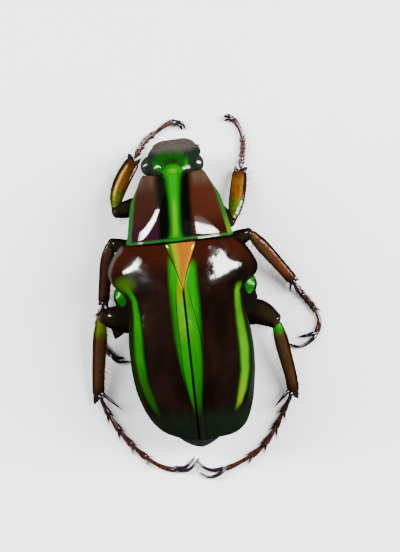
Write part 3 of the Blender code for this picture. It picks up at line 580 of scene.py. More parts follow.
def finish_piece(name, bm, materials, nodes):
    """Turn a mesh in millimetres into a piece of the beetle that stands for its nodes."""
    bmesh.ops.scale(bm, vec=(MM, MM, MM), verts=bm.verts)
    mesh = bpy.data.meshes.new(name)
    bm.to_mesh(mesh)
    bm.free()
    for material in materials:
        mesh.materials.append(material)
    mesh.shade_smooth()
    piece = bpy.data.objects.new(name, mesh)
    bpy.context.scene.collection.objects.link(piece)
    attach(piece, BODY)
    if nodes:
        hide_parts(*nodes)
    return piece


class Wire:
    """One value in a material's nodes, with Python's own arithmetic."""

    def __init__(self, paint, socket):
        self.paint = paint
        self.socket = socket

    def __add__(self, other):
        return self.paint.maths("ADD", self, other)

    __radd__ = __add__

    def __sub__(self, other):
        return self.paint.maths("SUBTRACT", self, other)

    def __rsub__(self, other):
        return self.paint.maths("SUBTRACT", other, self)

    def __mul__(self, other):
        return self.paint.maths("MULTIPLY", self, other)

    __rmul__ = __mul__

    def __truediv__(self, other):
        return self.paint.maths("DIVIDE", self, other)

    def __pow__(self, other):
        return self.paint.maths("POWER", self, other)

    def __abs__(self):
        return self.paint.maths("ABSOLUTE", self)


class Paint:
    """A material built from nodes on the piece's own coordinates, in millimetres."""

    def __init__(self, name, polish=0.0, haze=0.04):
        self.material = bpy.data.materials.new(name)
        self.material.use_nodes = True
        self.tree = self.material.node_tree
        self.shader = self.tree.nodes["Principled BSDF"]
        self.polish = polish
        self.shader.inputs["Specular IOR Level"].default_value = 0.0 if polish else PLAIN_SPECULAR
        if polish:
            self.shader.inputs["Coat IOR"].default_value = COAT_INDEX
            self.shader.inputs["Coat Roughness"].default_value = haze
            self.shader.inputs["Specular Tint"].default_value = (0.0, 0.0, 0.0, 1.0)

    def gloss(self, weight):
        """Give the lacquer its weight; it fades where the surface turns away from the eye."""
        tilt = self.node("ShaderNodeLayerWeight", inputs={"Blend": 0.5}, output=1)
        self.set(coat_weight=weight * (1.0 - self.ramp(tilt, *GLOSS_TILT)))

    def feed(self, socket, value):
        """Link or set one socket."""
        if isinstance(value, Wire):
            self.tree.links.new(value.socket, socket)
        elif socket.type == "RGBA" and len(value) == 3:
            socket.default_value = (*value, 1.0)
        else:
            socket.default_value = value

    def node(self, kind, settings=None, inputs=None, output=0):
        """Add a node: its settings first, then the values or links of its sockets."""
        made = self.tree.nodes.new(kind)
        for key, value in (settings or {}).items():
            if key == "stops":
                self.set_stops(made.color_ramp, value)
            else:
                setattr(made, key, value)
        for key, value in (inputs or {}).items():
            self.feed(made.inputs[key], value)
        return Wire(self, made.outputs[output])

    def set_stops(self, ramp, stops):
        """Give a ramp its stops, each a place and a grey value."""
        while len(ramp.elements) < len(stops):
            ramp.elements.new(0.5)
        for element, (place, grey) in zip(ramp.elements, stops):
            element.position = place
            element.color = (grey, grey, grey, 1.0)

    def maths(self, operation, *values):
        """Add a Math node."""
        return self.node("ShaderNodeMath", {"operation": operation}, dict(enumerate(values)))

    def mix(self, share, first, second):
        """Mix two colours."""
        inputs = {0: share, 6: first, 7: second}
        return self.node("ShaderNodeMix", {"data_type": "RGBA"}, inputs, output=2)

    def axes(self):
        """Return the piece's x, y and z in millimetres."""
        place = self.node("ShaderNodeTexCoord", output=3)
        scaled = self.node("ShaderNodeVectorMath", {"operation": "SCALE"}, {0: place, "Scale": 1.0 / MM})
        self.place = scaled
        return [self.node("ShaderNodeSeparateXYZ", inputs={0: scaled}, output=k) for k in range(3)]

    def ramp(self, value, low, high):
        """A smooth step from zero at low to one at high."""
        settings = {"interpolation_type": "SMOOTHSTEP"}
        inputs = {"Value": value, "From Min": low, "From Max": high, "To Min": 0.0, "To Max": 1.0}
        return self.node("ShaderNodeMapRange", settings, inputs)

    def band(self, value, low, high, soft):
        """One between low and high, and zero outside, with soft edges."""
        above = self.ramp(value, low - soft, low + soft)
        return above * (1.0 - self.ramp(value, high - soft, high + soft))

    def oval(self, x, y, centre, radii, soft=0.35):
        """One inside an oval in the plane of x and y, and zero outside, with a soft edge."""
        distance = ((x - centre[0]) / radii[0]) ** 2.0 + ((y - centre[1]) / radii[1]) ** 2.0
        return 1.0 - self.ramp(distance, 1.0 - soft, 1.0 + soft)

    def lookup(self, value, rows):
        """Read a smooth table of places and values."""
        low = rows[0][0]
        span = rows[-1][0] - low
        floor = min(row[1] for row in rows)
        rise = max(max(row[1] for row in rows) - floor, WELD)
        stops = [((row[0] - low) / span, (row[1] - floor) / rise) for row in rows]
        read = self.node("ShaderNodeValToRGB", {"stops": stops}, {0: (value - low) / span})
        return read * rise + floor

    def by_side(self, y, left, right_rows, left_rows):
        """Read a table along the body for each side, and keep that of the side one is on."""
        right_value = self.lookup(y, right_rows)
        return blend(left, right_value, self.lookup(y, left_rows))

    def noise(self, scale, detail=3.0, roughness=0.5, stretch=(1.0, 1.0, 1.0)):
        """Return noise of a number of waves to the millimetre."""
        placed = self.node("ShaderNodeMapping", inputs={0: self.place, "Scale": stretch})
        inputs = {"Vector": placed, "Scale": scale, "Detail": detail, "Roughness": roughness}
        return self.node("ShaderNodeTexNoise", inputs=inputs)

    def pits(self, scale, depth=0.4):
        """Return round pits, one where each cell's centre lies."""
        inputs = {"Vector": self.place, "Scale": scale, "Randomness": 0.85}
        distance = self.node("ShaderNodeTexVoronoi", {"feature": "F1"}, inputs)
        return self.ramp(distance, 0.0, depth)

    def bump(self, height, strength, distance):
        """Feed the shader's normal from a height in millimetres."""
        inputs = {"Strength": strength, "Distance": distance * MM, "Height": height}
        self.feed(self.shader.inputs["Normal"], self.node("ShaderNodeBump", inputs=inputs))

    def set(self, **values):
        """Feed the shader's own sockets, named with underscores for spaces."""
        for key, value in values.items():
            self.feed(self.shader.inputs[key.replace("_", " ").title()], value)
        return self.material

    def finish(self, **values):
        """Feed the shader's sockets, and give the lacquer its even weight if it has none yet."""
        if self.polish and not self.shader.inputs["Coat Weight"].is_linked:
            self.gloss(self.polish)
        return self.set(**values)


def colours():
    """The user's colours."""
    return bpy.context.scene.beetle_colours


def sizes():
    """The user's sizes."""
    return bpy.context.scene.beetle_sizes


def shell_finish(paint, height, roughness, strength=0.3):
    """Finish a polished plate: fine pits, faint scratches and a little wear in the polish."""
    scuffs = paint.noise(5.0, detail=6.0, roughness=0.7, stretch=(1.0, 0.25, 1.0))
    pits = paint.pits(1.0 / sizes().pit_spacing, depth=0.22)
    paint.bump(height + pits * 0.5 + scuffs * 0.25, strength, 0.035)
    return roughness + scuffs * 0.10


def gloss_prothorax(paint, x, y, away, left):
    """Lay the lacquer on a slanted field of the left side and on the hind part of the right."""
    inner = paint.lookup(y, ((-8.4, 0.0), (-6.4, 0.85), (-6.1, 0.98), (-5.4, 1.26), (-4.66, 1.74),
                             (-3.9, 2.30)))
    outer = paint.lookup(y, ((-6.4, 1.10), (-5.9, 1.34), (-5.5, 1.62), (-5.0, 2.08), (-4.6, 2.70),
                             (-4.2, 3.15)))
    within = 1.0 - paint.ramp(x, outer - 0.04, outer + 0.14)
    flank = paint.maths("MAXIMUM", within, paint.ramp(x, 2.80, 3.05))
    left_polish = paint.ramp(away, inner - 0.06, inner + 0.10) * flank
    right_polish = paint.ramp(y - abs(x) * 0.36, -5.56, -5.30)
    paint.gloss(blend(left, right_polish, left_polish) * 0.94 + (1.0 - left) * 0.03)


def prothorax_paint():
    """Maroon sides, a black-green band, a green stripe with a yellow core and green margins."""
    paint = Paint("polished maroon prothorax", polish=1.0, haze=0.07)
    x, y, z = paint.axes()
    tint = colours()
    middle = paint.lookup(y, ((-8.4, 0.0), (-6.6, 0.08), (-5.2, 0.16), (-3.9, 0.24)))
    away = abs(x - middle)
    half = paint.lookup(y, ((-8.4, 0.60), (-7.9, 0.46), (-6.6, 0.36), (-5.0, 0.33), (-4.4, 0.38),
                            (-3.9, 0.62)))
    left = paint.ramp(x, -0.4, 0.4)
    low = paint.ramp(y, -5.8, -4.6)
    left_side = paint.mix(low, tint.maroon_left, tint.maroon_purple)
    right_side = paint.mix(low, tint.maroon_right, tint.maroon_low)
    sides = paint.mix(left, right_side, left_side)
    flecks = paint.noise(1.1, detail=4.0)
    sides = paint.mix(flecks * 0.5, sides, tint.maroon_deep)
    corner = (1.0 - paint.ramp(y, -8.1, -7.0)) * paint.ramp(away, 1.05, 1.45)
    streaks = paint.noise(1.6, detail=4.0, stretch=(2.0, 0.6, 1.0))
    sides = paint.mix(corner * (0.35 + paint.ramp(streaks, 0.30, 0.70) * 0.5), sides, tint.corner_brown)
    dark_share = 1.0 - paint.ramp(away, 0.90, 1.25)
    skin = paint.mix(dark_share, sides, tint.black_green)
    stripe = 1.0 - paint.ramp(away, half * 0.70, half * 1.35)
    skin = paint.mix(stripe, skin, tint.stripe_fringe)
    bright = 1.0 - paint.ramp(away, half * 0.30, half * 0.90)
    skin = paint.mix(bright, skin, tint.stripe_green)
    core = (1.0 - paint.ramp(away, 0.03, 0.22)) * paint.ramp(y, -7.0, -6.0)
    core = core * (1.0 - paint.ramp(y, -4.6, -4.1))
    skin = paint.mix(core * 0.9, skin, tint.stripe_yellow)
    edge = paint.lookup(y, ((-8.4, 2.00), (-7.8, 2.30), (-7.2, 2.64), (-6.7, 2.88), (-6.0, 3.06),
                            (-5.2, 3.22), (-4.6, 3.36), (-3.9, 3.46)))
    reach = paint.lookup(y, ((-8.4, 0.01), (-7.3, 0.10), (-6.5, 0.22), (-5.0, 0.26), (-3.9, 0.30)))
    margin = paint.ramp(abs(x), edge - reach - 0.08, edge - reach + 0.06) * paint.ramp(y, -8.2, -6.4)
    margin = margin * paint.ramp(z, 2.9, 3.1)
    right_low = paint.ramp(y, -5.6, -4.4) * (1.0 - left)
    skin = paint.mix(margin, skin, paint.mix(right_low, tint.margin_green, tint.margin_yellow))
    hem = paint.band(y, -4.16, -4.00, 0.05)
    skin = paint.mix(hem * 0.8, skin, tint.margin_green)
    skin = paint.mix(paint.ramp(y, -4.00, -3.93), skin, tint.black_green)
    under = 1.0 - paint.ramp(z, 2.75, 3.05)
    skin = paint.mix(under, skin, tint.belly_green)
    shine = paint.maths("MAXIMUM", stripe, margin)
    gloss_prothorax(paint, x, y, away, left)
    return paint.finish(base_color=skin, metallic=shine * 0.2, roughness=shell_finish(paint, 0.0, 0.17))


def scutellum_paint():
    """Orange in the middle, yellow on the left and yellow-green at the edges."""
    paint = Paint("polished orange scutellum", polish=0.9)
    x, y, _ = paint.axes()
    tint = colours()
    x = x - paint.ramp(y, *SEAM_BENDS) * SEAM_SHIFT
    middle = paint.lookup(y, ((-3.7, -0.14), (-2.6, -0.12), (-1.4, 0.00), (-0.8, 0.04)))
    width = paint.lookup(y, ((-3.7, 0.52), (-2.4, 0.36), (-1.0, 0.08)))
    away = (x - middle) / width
    skin = paint.mix(paint.ramp(away, 0.3, 1.1), tint.scutellum_orange, tint.scutellum_yellow)
    pale = paint.ramp(y, -2.5, -1.8)
    skin = paint.mix(pale * 0.55 * (1.0 - paint.ramp(away, 0.2, 0.9)), skin, tint.scutellum_pale)
    skin = paint.mix(paint.ramp(abs(away), 1.1, 1.7), skin, tint.scutellum_edge)
    cloud = paint.noise(2.2, detail=4.0)
    skin = paint.mix(cloud * 0.25, skin, tint.scutellum_edge)
    rim = paint.lookup(y, ((-3.7, 1.02), (-2.8, 0.65), (-2.0, 0.36), (-1.4, 0.17), (-0.75, 0.02)))
    skin = paint.mix(paint.ramp(abs(x), rim - 0.07, rim + 0.01), skin, tint.seam_black)
    side = paint.ramp(y, -3.45, -3.20) * paint.ramp(0.0 - x, -0.1, 0.1) * 0.22
    paint.gloss(0.9 * (1.0 - paint.ramp(abs(x), rim - side - 0.20, rim - side - 0.08)))
    roughness = shell_finish(paint, 0.0, 0.18, strength=0.2)
    return paint.finish(base_color=skin, metallic=0.2, roughness=roughness)


def add_seam_stripes(paint, skin, by_seam, y, left, blotch):
    """Paint the stripes beside the seam; return the skin, the stripes and their fine dark line."""
    tint = colours()
    outer = paint.by_side(
        y, left,
        ((-3.4, 0.98), (-2.2, 1.00), (0.0, 1.04), (2.2, 0.97), (4.7, 0.78), (7.1, 0.42)),
        ((-3.4, 0.98), (-2.2, 0.95), (0.0, 1.00), (2.2, 0.99), (4.7, 0.68), (6.3, 0.34), (7.1, 0.14)))
    line_at = paint.by_side(
        y, left,
        ((-1.0, 0.26), (0.0, 0.43), (1.1, 0.62), (2.3, 0.79), (4.0, 0.78), (7.0, 0.44)),
        ((-1.4, 0.34), (-0.4, 0.50), (0.6, 0.56), (3.2, 0.58), (4.6, 0.54), (7.0, 0.30)))
    glow_in = paint.by_side(
        y, left,
        ((-2.2, 0.9), (0.4, 0.70), (2.6, 0.66), (4.2, 0.46), (5.4, 0.30), (7.0, 0.22)),
        ((-2.2, 1.0), (1.8, 0.90), (4.6, 0.62), (6.6, 0.40)))
    glow_out = paint.by_side(
        y, left,
        ((-2.2, 1.0), (0.6, 0.90), (2.0, 0.30), (4.0, 0.30), (7.0, 0.20)),
        ((-2.2, 0.9), (-1.2, 0.80), (-0.2, 0.52), (2.6, 0.40), (4.6, 0.50), (6.6, 0.40)))
    inside = 1.0 - paint.ramp(by_seam, line_at - 0.06, line_at + 0.05)
    glow = blend(inside, glow_out, glow_in) * (0.74 + blotch * 0.34)
    fade = paint.ramp(y + left * 0.4, -2.9, -1.9) * (1.0 - paint.ramp(y, 6.3, 7.6))
    stripe = (1.0 - paint.ramp(by_seam, outer * 0.78, outer * 1.06)) * fade * glow
    warm = inside * paint.band(y, -1.3, 2.2, 0.8) * (0.12 + left * 0.66)
    gold = inside * paint.band(y, -1.5, -0.1, 0.5) * left
    skin = paint.mix(stripe, skin, tint.stripe_fringe)
    bright = 1.0 - paint.ramp(by_seam, outer * 0.60, outer * 0.98)
    lit = paint.mix(warm, tint.stripe_green, tint.stripe_yellow)
    skin = paint.mix(stripe * bright, skin, paint.mix(gold * 0.55, lit, tint.seam_gold))
    line = paint.band(by_seam, line_at - 0.028, line_at + 0.028, 0.025) * paint.band(y, -0.7, 6.4, 0.5)
    return skin, stripe, line


def add_side_stripes(paint, skin, beside, y, left, blotch):
    """Paint the outer stripes, beside a middle line; return the skin and the stripes."""
    tint = colours()
    half = paint.lookup(y, ((-2.4, 0.30), (-1.0, 0.24), (-0.4, 0.20), (0.6, 0.24), (1.8, 0.31), (3.3, 0.34),
                            (4.7, 0.31), (6.0, 0.30), (6.9, 0.20), (7.6, 0.10)))
    strength = paint.by_side(
        y, left,
        ((-1.8, 0.7), (0.0, 0.8), (0.9, 0.45), (2.8, 1.0), (5.0, 1.0), (7.0, 1.0)),
        ((-1.8, 0.34), (-0.9, 0.50), (0.2, 0.66), (2.0, 0.56), (3.6, 0.38), (5.2, 0.18), (7.0, 0.10)))
    stripe = 1.0 - paint.ramp(abs(beside), half * 0.6, half * 1.25)
    start = paint.ramp(y + left * 0.75, -1.10, -0.45)
    stripe = stripe * start * (1.0 - paint.ramp(y, 6.5, 7.4))
    stripe = stripe * strength * (0.70 + blotch * 0.36)
    yellowness = paint.lookup(y, ((-1.8, 0.35), (0.9, 0.25), (2.8, 0.40), (4.8, 0.30), (6.4, 0.80)))
    lit = paint.mix(yellowness * (1.0 - left), tint.stripe_green, tint.side_yellow)
    skin = paint.mix(stripe, skin, tint.stripe_fringe)
    core = 1.0 - paint.ramp(abs(beside), half * 0.35, half * 1.0)
    return paint.mix(stripe * core, skin, lit), stripe


def gloss_wing_case(paint, x, y, left, cloud, by_seam):
    """Lay the lacquer on the shoulders, with creases on the right one, and thinly behind them."""
    away = abs(x)
    plate_edge = paint.lookup(y, ((-3.7, 1.06), (-2.8, 0.68), (-2.0, 0.38), (-1.4, 0.19), (-0.6, 0.02)))
    crumple = paint.noise(1.6, detail=4.0, roughness=0.6, stretch=(1.2, 0.7, 1.0))
    inner = 1.80 + left * 0.75
    slant = (y + 2.6) * (0.35 + left * 0.35)
    polished = paint.ramp(away + cloud * 1.2 - 0.6 + slant, inner - 0.40, inner + 0.40)
    core = paint.oval(x, y, (-2.72, -1.72), (0.62, 0.85), soft=0.5)
    creased = paint.ramp(crumple, 0.45, 0.56) * (1.0 - core) * (1.0 - left)
    polished = polished * (1.0 - creased * 0.95)
    worn = paint.ramp(y, -1.15, -0.85)
    dull = paint.oval(x, y, (-2.35, 1.0), (1.25, 2.60), soft=0.3)
    hind = paint.ramp(away, 0.9, 1.5) * (1.0 - dull) * 0.30
    polished = blend(worn, polished, hind)
    paint.gloss(polished * paint.ramp(by_seam, plate_edge + 0.10, plate_edge + 0.26))


def wing_case_paint():
    """Dark maroon with two green stripes on each wing case and fine lines beside the seam."""
    paint = Paint("polished striped wing case", polish=1.0, haze=0.12)
    x, y, z = paint.axes()
    tint = colours()
    away = abs(x)
    left = paint.ramp(x, -0.3, 0.3)
    cloud = paint.noise(0.9, detail=5.0, stretch=(1.0, 0.5, 1.0))
    skin = paint.mix(paint.ramp(cloud, 0.35, 0.65), tint.wing_black, tint.wing_maroon)
    front = 1.0 - paint.ramp(y, -3.0, -1.6)
    skin = paint.mix(front * (0.45 + cloud * 0.6), skin, tint.wing_base)
    skin = paint.mix(paint.ramp(y, 6.4, 7.9), skin, tint.wing_apex)
    blotch = paint.ramp(paint.noise(1.5, detail=4.0, stretch=(1.0, 0.45, 1.0)), 0.30, 0.66)
    by_seam = abs(x - paint.ramp(y, *SEAM_BENDS) * SEAM_SHIFT)
    skin, seam_stripe, line = add_seam_stripes(paint, skin, by_seam, y, left, blotch)
    middle = paint.lookup(y, ((-2.4, 4.15), (-1.6, 3.92), (-1.0, 3.56), (-0.4, 3.33), (0.6, 3.28),
                              (1.8, 3.34),
                              (3.3, 3.40), (4.7, 3.31), (6.0, 2.99), (6.8, 2.70), (7.6, 2.24)))
    beside = away - middle
    skin, side_stripe = add_side_stripes(paint, skin, beside, y, left, blotch)
    halo = paint.oval(away + cloud * 0.5, y + cloud * 0.3, (4.04, -1.36), (0.74, 0.60), soft=1.0)
    halo = halo * halo * left * paint.ramp(z, 3.3, 4.1) * 0.62
    skin = paint.mix(halo, skin, tint.halo_olive)
    behind = paint.ramp(y, -1.50, -1.00)
    # The outer rim: dark green on the left; on the right, dark green with a painted grey reflection of the
    # floor.
    rim = paint.ramp(beside, 0.36, 0.60) * 0.9 * (1.0 - paint.ramp(y, 5.6, 7.4))
    skin = paint.mix(rim * behind, skin, paint.mix(left, tint.rim_right, tint.rim_left))
    # The shoulder's outer rim: a painted mauve-grey reflection on the left, wing-case black on the right.
    lobe = paint.lookup(y, ((-3.7, 3.55), (-3.2, 4.05), (-2.7, 4.34), (-2.2, 4.52), (-1.7, 4.46),
                            (-1.0, 4.10)))
    shoulder = paint.ramp(away - lobe - left * 0.20, -0.12, 0.10) * (1.0 - behind)
    skin = paint.mix(shoulder, skin, paint.mix(left, tint.wing_black, tint.shoulder_mauve))
    seam = 1.0 - paint.ramp(by_seam, 0.05, 0.11)
    skin = paint.mix(paint.maths("MAXIMUM", line * 0.85, seam), skin, tint.seam_black)
    gloss_wing_case(paint, x, y, left, cloud, by_seam)
    shine = paint.maths("MAXIMUM", seam_stripe, side_stripe) * (1.0 - line)
    roughness = shell_finish(paint, 0.0 - line * 1.2, 0.17)
    return paint.finish(base_color=skin, metallic=shine * 0.2, roughness=roughness)


def head_paint():
    """Metallic green between the eyes, black-green cheeks and a grey-brown front."""
    paint = Paint("polished green head", polish=0.8, haze=0.07)
    x, y, z = paint.axes()
    tint = colours()
    pitted = paint.pits(5.0, depth=0.45)
    cloud = paint.noise(1.8, detail=5.0)
    wander = cloud * 0.7 - 0.35
    dusty = 1.0 - paint.ramp(y + abs(x + 0.1) * 0.25 + wander * 0.9, -9.80, -9.20)
    skin = paint.mix(dusty * (0.30 + cloud * 1.2), tint.cheek_dark, tint.clypeus_brown)
    green = paint.oval(x + wander * 0.5, y + wander * 0.5, (0.06, -9.06), (1.14, 0.76), soft=0.6)
    skin = paint.mix(green * (0.55 + cloud * 0.8), skin, tint.head_green)
    dusk = paint.oval(x + wander * 0.6, y + wander * 0.3, (-0.04, -9.12), (0.44, 0.20), soft=0.9)
    skin = paint.mix(dusk * 0.8, skin, tint.head_umber)
    # Painted sheen: a bright green arc along the head's hind rim, beside the glints, stronger on the right.
    rim = ((x - 0.04) / 1.04) ** 2.0 + ((y + 9.05) / 0.70) ** 2.0
    rim_sheen = paint.band(rim, 0.80, 1.05, 0.22) * paint.ramp(y, -9.35, -8.95)
    skin = paint.mix(rim_sheen * (0.75 - paint.ramp(x, -0.2, 0.2) * 0.40), skin, tint.stripe_green)
    glow = paint.oval(x, y, (-0.03, -8.46), (0.54, 0.42), soft=0.9)
    skin = paint.mix(glow, skin, tint.stripe_green)
    core = paint.oval(x, y, (-0.03, -8.50), (0.26, 0.15), soft=0.9)
    skin = paint.mix(core * 0.8, skin, tint.stripe_yellow)
    skin = paint.mix((1.0 - pitted) * 0.5, skin, tint.black_green)
    skin = paint.mix(1.0 - paint.ramp(z, 2.6, 2.85), skin, tint.thigh_dark)
    grain = paint.noise(9.0, detail=5.0)
    sparkle = paint.ramp(paint.noise(4.6, detail=4.0), 0.44, 0.60)
    paint.gloss((0.10 + sparkle * 0.90) * paint.ramp(y, -9.38, -9.08))
    paint.bump(pitted + grain * 0.4, 0.35, 0.04)
    return paint.finish(base_color=skin, metallic=green * 0.2, roughness=0.20 + grain * 0.14)


def belly_paint():
    """Dark green-black middle body with a bright green plate at each side."""
    paint = Paint("polished green underside", polish=0.5, haze=0.12)
    x, y, z = paint.axes()
    tint = colours()
    away = abs(x)
    cloud = paint.noise(1.4, detail=4.0)
    skin = paint.mix(cloud, tint.belly_green, tint.thigh_dark)
    plate = paint.oval(away + y * 0.18, y, (4.10, -0.72), (0.31, 0.56)) * paint.ramp(z, 1.9, 2.2)
    skin = paint.mix(plate, skin, tint.plate_green)
    paint.gloss(plate * 0.10)
    pitted = paint.pits(3.2, depth=0.30)
    grain = paint.noise(7.0, detail=4.0)
    paint.bump(pitted + grain * 0.3, 0.35, 0.04)
    return paint.finish(base_color=skin, metallic=plate * 0.3, roughness=0.22 + grain * 0.15)


def abdomen_paint():
    """Dark green rings, browner in patches."""
    paint = Paint("polished green abdomen", polish=0.5, haze=0.10)
    paint.axes()
    tint = colours()
    cloud = paint.noise(1.6, detail=4.0)
    skin = paint.mix(cloud, tint.belly_green, tint.thigh_dark)
    rows = paint.noise(3.4, detail=3.0, stretch=(1.0, 3.0, 1.0))
    paint.bump(paint.pits(3.6, depth=0.35) + rows * 0.5, 0.35, 0.04)
    return paint.finish(base_color=skin, roughness=0.24 + rows * 0.12)


def pygidium_paint():
    """Dark grey-green plate with a fine wrinkled grain."""
    paint = Paint("wrinkled green tail plate", polish=0.5, haze=0.15)
    x, _, _ = paint.axes()
    tint = colours()
    waves = paint.noise(4.0, detail=4.0, stretch=(1.0, 2.6, 1.0))
    keel = 1.0 - paint.ramp(abs(x), 0.02, 0.10)
    skin = paint.mix(paint.ramp(waves, 0.3, 0.7), tint.tail_dark, tint.tail_grey)
    paint.bump(waves + keel, 0.4, 0.05)
    return paint.finish(base_color=skin, roughness=0.28 + waves * 0.12)


def eye_paint():
    """Dark grey with a fine facet grain."""
    paint = Paint("faceted grey eye", polish=0.9, haze=0.07)
    x, _, _ = paint.axes()
    paint.gloss(1.0 - paint.ramp(x, 0.0, 0.6) * 0.7)
    tint = colours()
    inputs = {"Vector": paint.place, "Scale": 22.0, "Randomness": 0.15}
    facet = paint.node("ShaderNodeTexVoronoi", {"feature": "F1"}, inputs)
    paint.bump(0.0 - facet, 0.3, 0.02)
    skin = paint.mix(facet, tint.eye_grey, tint.tail_dark)
    return paint.finish(base_color=skin, roughness=0.16 + facet * 0.2)


def along_limb(paint):
    """Return the share along a limb and the sine and cosine of the turn round it."""
    along = paint.node("ShaderNodeAttribute", {"attribute_name": "along"}, output=2)
    turn = paint.node("ShaderNodeAttribute", {"attribute_name": "around"}, output=2) * (2.0 * math.pi)
    return along, paint.maths("SINE", turn), paint.maths("COSINE", turn)


def thigh_paint():
    """Near black horn of the coxae and femora, with a painted brown sheen along the top."""
    paint = Paint("near black thigh horn", polish=0.6, haze=0.08)
    paint.axes()
    tint = colours()
    along, top, _ = along_limb(paint)
    grain = paint.noise(3.0, detail=5.0, roughness=0.6)
    # Painted sheen: lighter brown along the top, towards the far end.
    top_sheen = paint.ramp(top + grain, 0.9, 1.6) * paint.ramp(along, 0.25, 0.70)
    skin = paint.mix(top_sheen * 0.8, tint.thigh_dark, tint.thigh_warm)
    streaks = paint.noise(6.0, detail=4.0, roughness=0.65)
    paint.gloss(0.5 * paint.ramp(streaks, 0.50, 0.62) * paint.ramp(along, 0.45, 0.85))
    paint.bump(paint.pits(4.0, depth=0.25) * 0.6 + streaks * 0.5, 0.35, 0.03)
    return paint.finish(base_color=skin, roughness=0.22 + streaks * 0.15)


def tibia_paint(name):
    """Tibia horn: green by the knee, a warm body and a dark inner edge, with a painted grey-green sheen
    along the outer edge and a painted pale highlight on the fore tibiae.
    """
    tint = colours()
    pair, side = name.split("_")
    body = {"fore": tint.tibia_orange, "mid": tint.tibia_warm, "hind": tint.tibia_brown}[pair]
    if name == "mid_left":
        body = tint.tibia_red
    knee_end, edge_sheen_share, highlight_share = {
        "fore_left": (0.36, 0.0, 0.8), "fore_right": (0.42, 0.0, 0.15), "mid_left": (0.02, 0.6, 0.0),
        "mid_right": (0.02, 0.9, 0.0), "hind_left": (0.20, 0.3, 0.0), "hind_right": (0.12, 0.5, 0.0),
    }[name]
    outer = SIDES[side] * (1.0 if pair == "fore" else -1.0)
    paint = Paint("tibia horn " + name, polish=0.6, haze=0.08)
    paint.axes()
    along, top, across = along_limb(paint)
    out = across * outer
    grain = paint.noise(3.0, detail=5.0, roughness=0.6)
    inner = paint.ramp(0.0 - out + grain * 0.3, 0.62, 1.0)
    dark = paint.maths("MAXIMUM", inner, paint.ramp(out, 0.90, 1.0))
    dark = paint.maths("MAXIMUM", dark, 1.0 - paint.ramp(top, -0.15, 0.30))
    dark = paint.maths("MAXIMUM", dark, paint.ramp(along + grain * 0.1, 0.84, 1.0) * 0.7)
    skin = paint.mix(dark, body, tint.tibia_dark)
    # Painted sheen: grey-green light along the outer edge, fading towards the ankle.
    edge_sheen = paint.band(out + grain * 0.2, 0.30, 0.95, 0.22) * (1.0 - paint.ramp(along, 0.45, 0.80))
    skin = paint.mix(edge_sheen * edge_sheen_share, skin, tint.tibia_olive)
    green = (1.0 - paint.ramp(along + grain * 0.10, knee_end, knee_end + 0.14)) * (1.0 - dark * 0.8)
    green = green * paint.ramp(along, 0.0, 0.05)
    skin = paint.mix(green, skin, tint.stripe_green if name == "hind_right" else tint.knee_green)
    # Painted highlight: a pale cream band on the upper side, strongest on the left fore tibia.
    painted_highlight = paint.band(out, -0.60, -0.30, 0.12) * paint.band(along, 0.25, 0.85, 0.08)
    painted_highlight = painted_highlight * paint.ramp(top, 0.3, 0.6)
    skin = paint.mix(painted_highlight * highlight_share, skin, tint.tibia_cream)
    streaks = paint.noise(6.0, detail=4.0, roughness=0.65)
    mottle = paint.ramp(paint.noise(3.4, detail=5.0, roughness=0.7), 0.50, 0.62)
    skin = paint.mix(mottle * (0.55 if pair == "fore" else 0.35), skin, tint.tibia_dark)
    paint.gloss((0.5 if pair == "fore" else 0.14) * paint.ramp(streaks, 0.44, 0.56))
    paint.bump(paint.pits(4.0, depth=0.25) * 0.6 + streaks * 0.5, 0.40, 0.03)
    return paint.finish(base_color=skin, roughness=0.20 + streaks * 0.15)


def horn_paint(name, low, high, polish=0.7):
    """Horn of two close colours with a fine streaked grain."""
    paint = Paint(name, polish=polish, haze=0.07)
    paint.axes()
    streaks = paint.noise(4.0, detail=5.0, roughness=0.6)
    fine = paint.noise(14.0, detail=3.0)
    paint.bump(streaks + fine * 0.4, 0.3, 0.025)
    skin = paint.mix(paint.ramp(streaks, 0.3, 0.7), low, high)
    return paint.finish(base_color=skin, roughness=0.22 + fine * 0.12)


def shared(maker, *values):
    """Return a material made once by its function."""
    key = maker.__name__ + "".join(str(value) for value in values[:1])
    if key not in MADE:
        MADE[key] = maker(*values)
    return MADE[key]


def toe_paint(pair):
    """Toe joints: dusty pink on the fore feet, reddish brown on the others."""
    tint = colours()
    high = tint.toe_pink if pair == "fore" else tint.toe_red
    return horn_paint("toe joint horn " + pair, tint.toe_dark, high, 0.35)


def claw_paint():
    """Purple-black claws and spines."""
    tint = colours()
    return shared(horn_paint, "claw horn", tint.claw_dark, tint.claw_purple)


def carve_head(point, width, lift):
    """Raise the rim of the clypeus and hollow the face on both sides of a low ridge."""
    ahead = point.y - HEAD_FRONT
    share = min(abs(point.x) / max(width, WELD), 1.0)
    front = bell(ahead, 0.35)
    lobes = 0.10 * (1.0 - bell(point.x, 0.55)) * (1.0 - share**6)
    point.y += front * (0.10 - lobes) + 0.13 * point.x * bell(ahead, 0.9)
    point.x *= 1.0 + (0.12 if point.x < 0.0 else -0.07) * bell(ahead - 0.75, 0.55)
    if lift > 0.0:
        rim = bell(1.0 - share, 0.10) * bell(ahead - 0.35, 0.55)
        point.z += 0.07 * rim + 0.06 * bell(ahead - 0.05, 0.10)
        hollow = bell(abs(point.x) - 0.62, 0.30) * bell(ahead - 1.00, 0.42)
        point.z -= 0.13 * hollow
        point.z += 0.05 * bell(point.x, 0.14) * bell(ahead - 0.95, 0.55)
        point.z += 0.05 * bell(abs(point.x) - 0.95, 0.22) * bell(ahead - 1.45, 0.40)


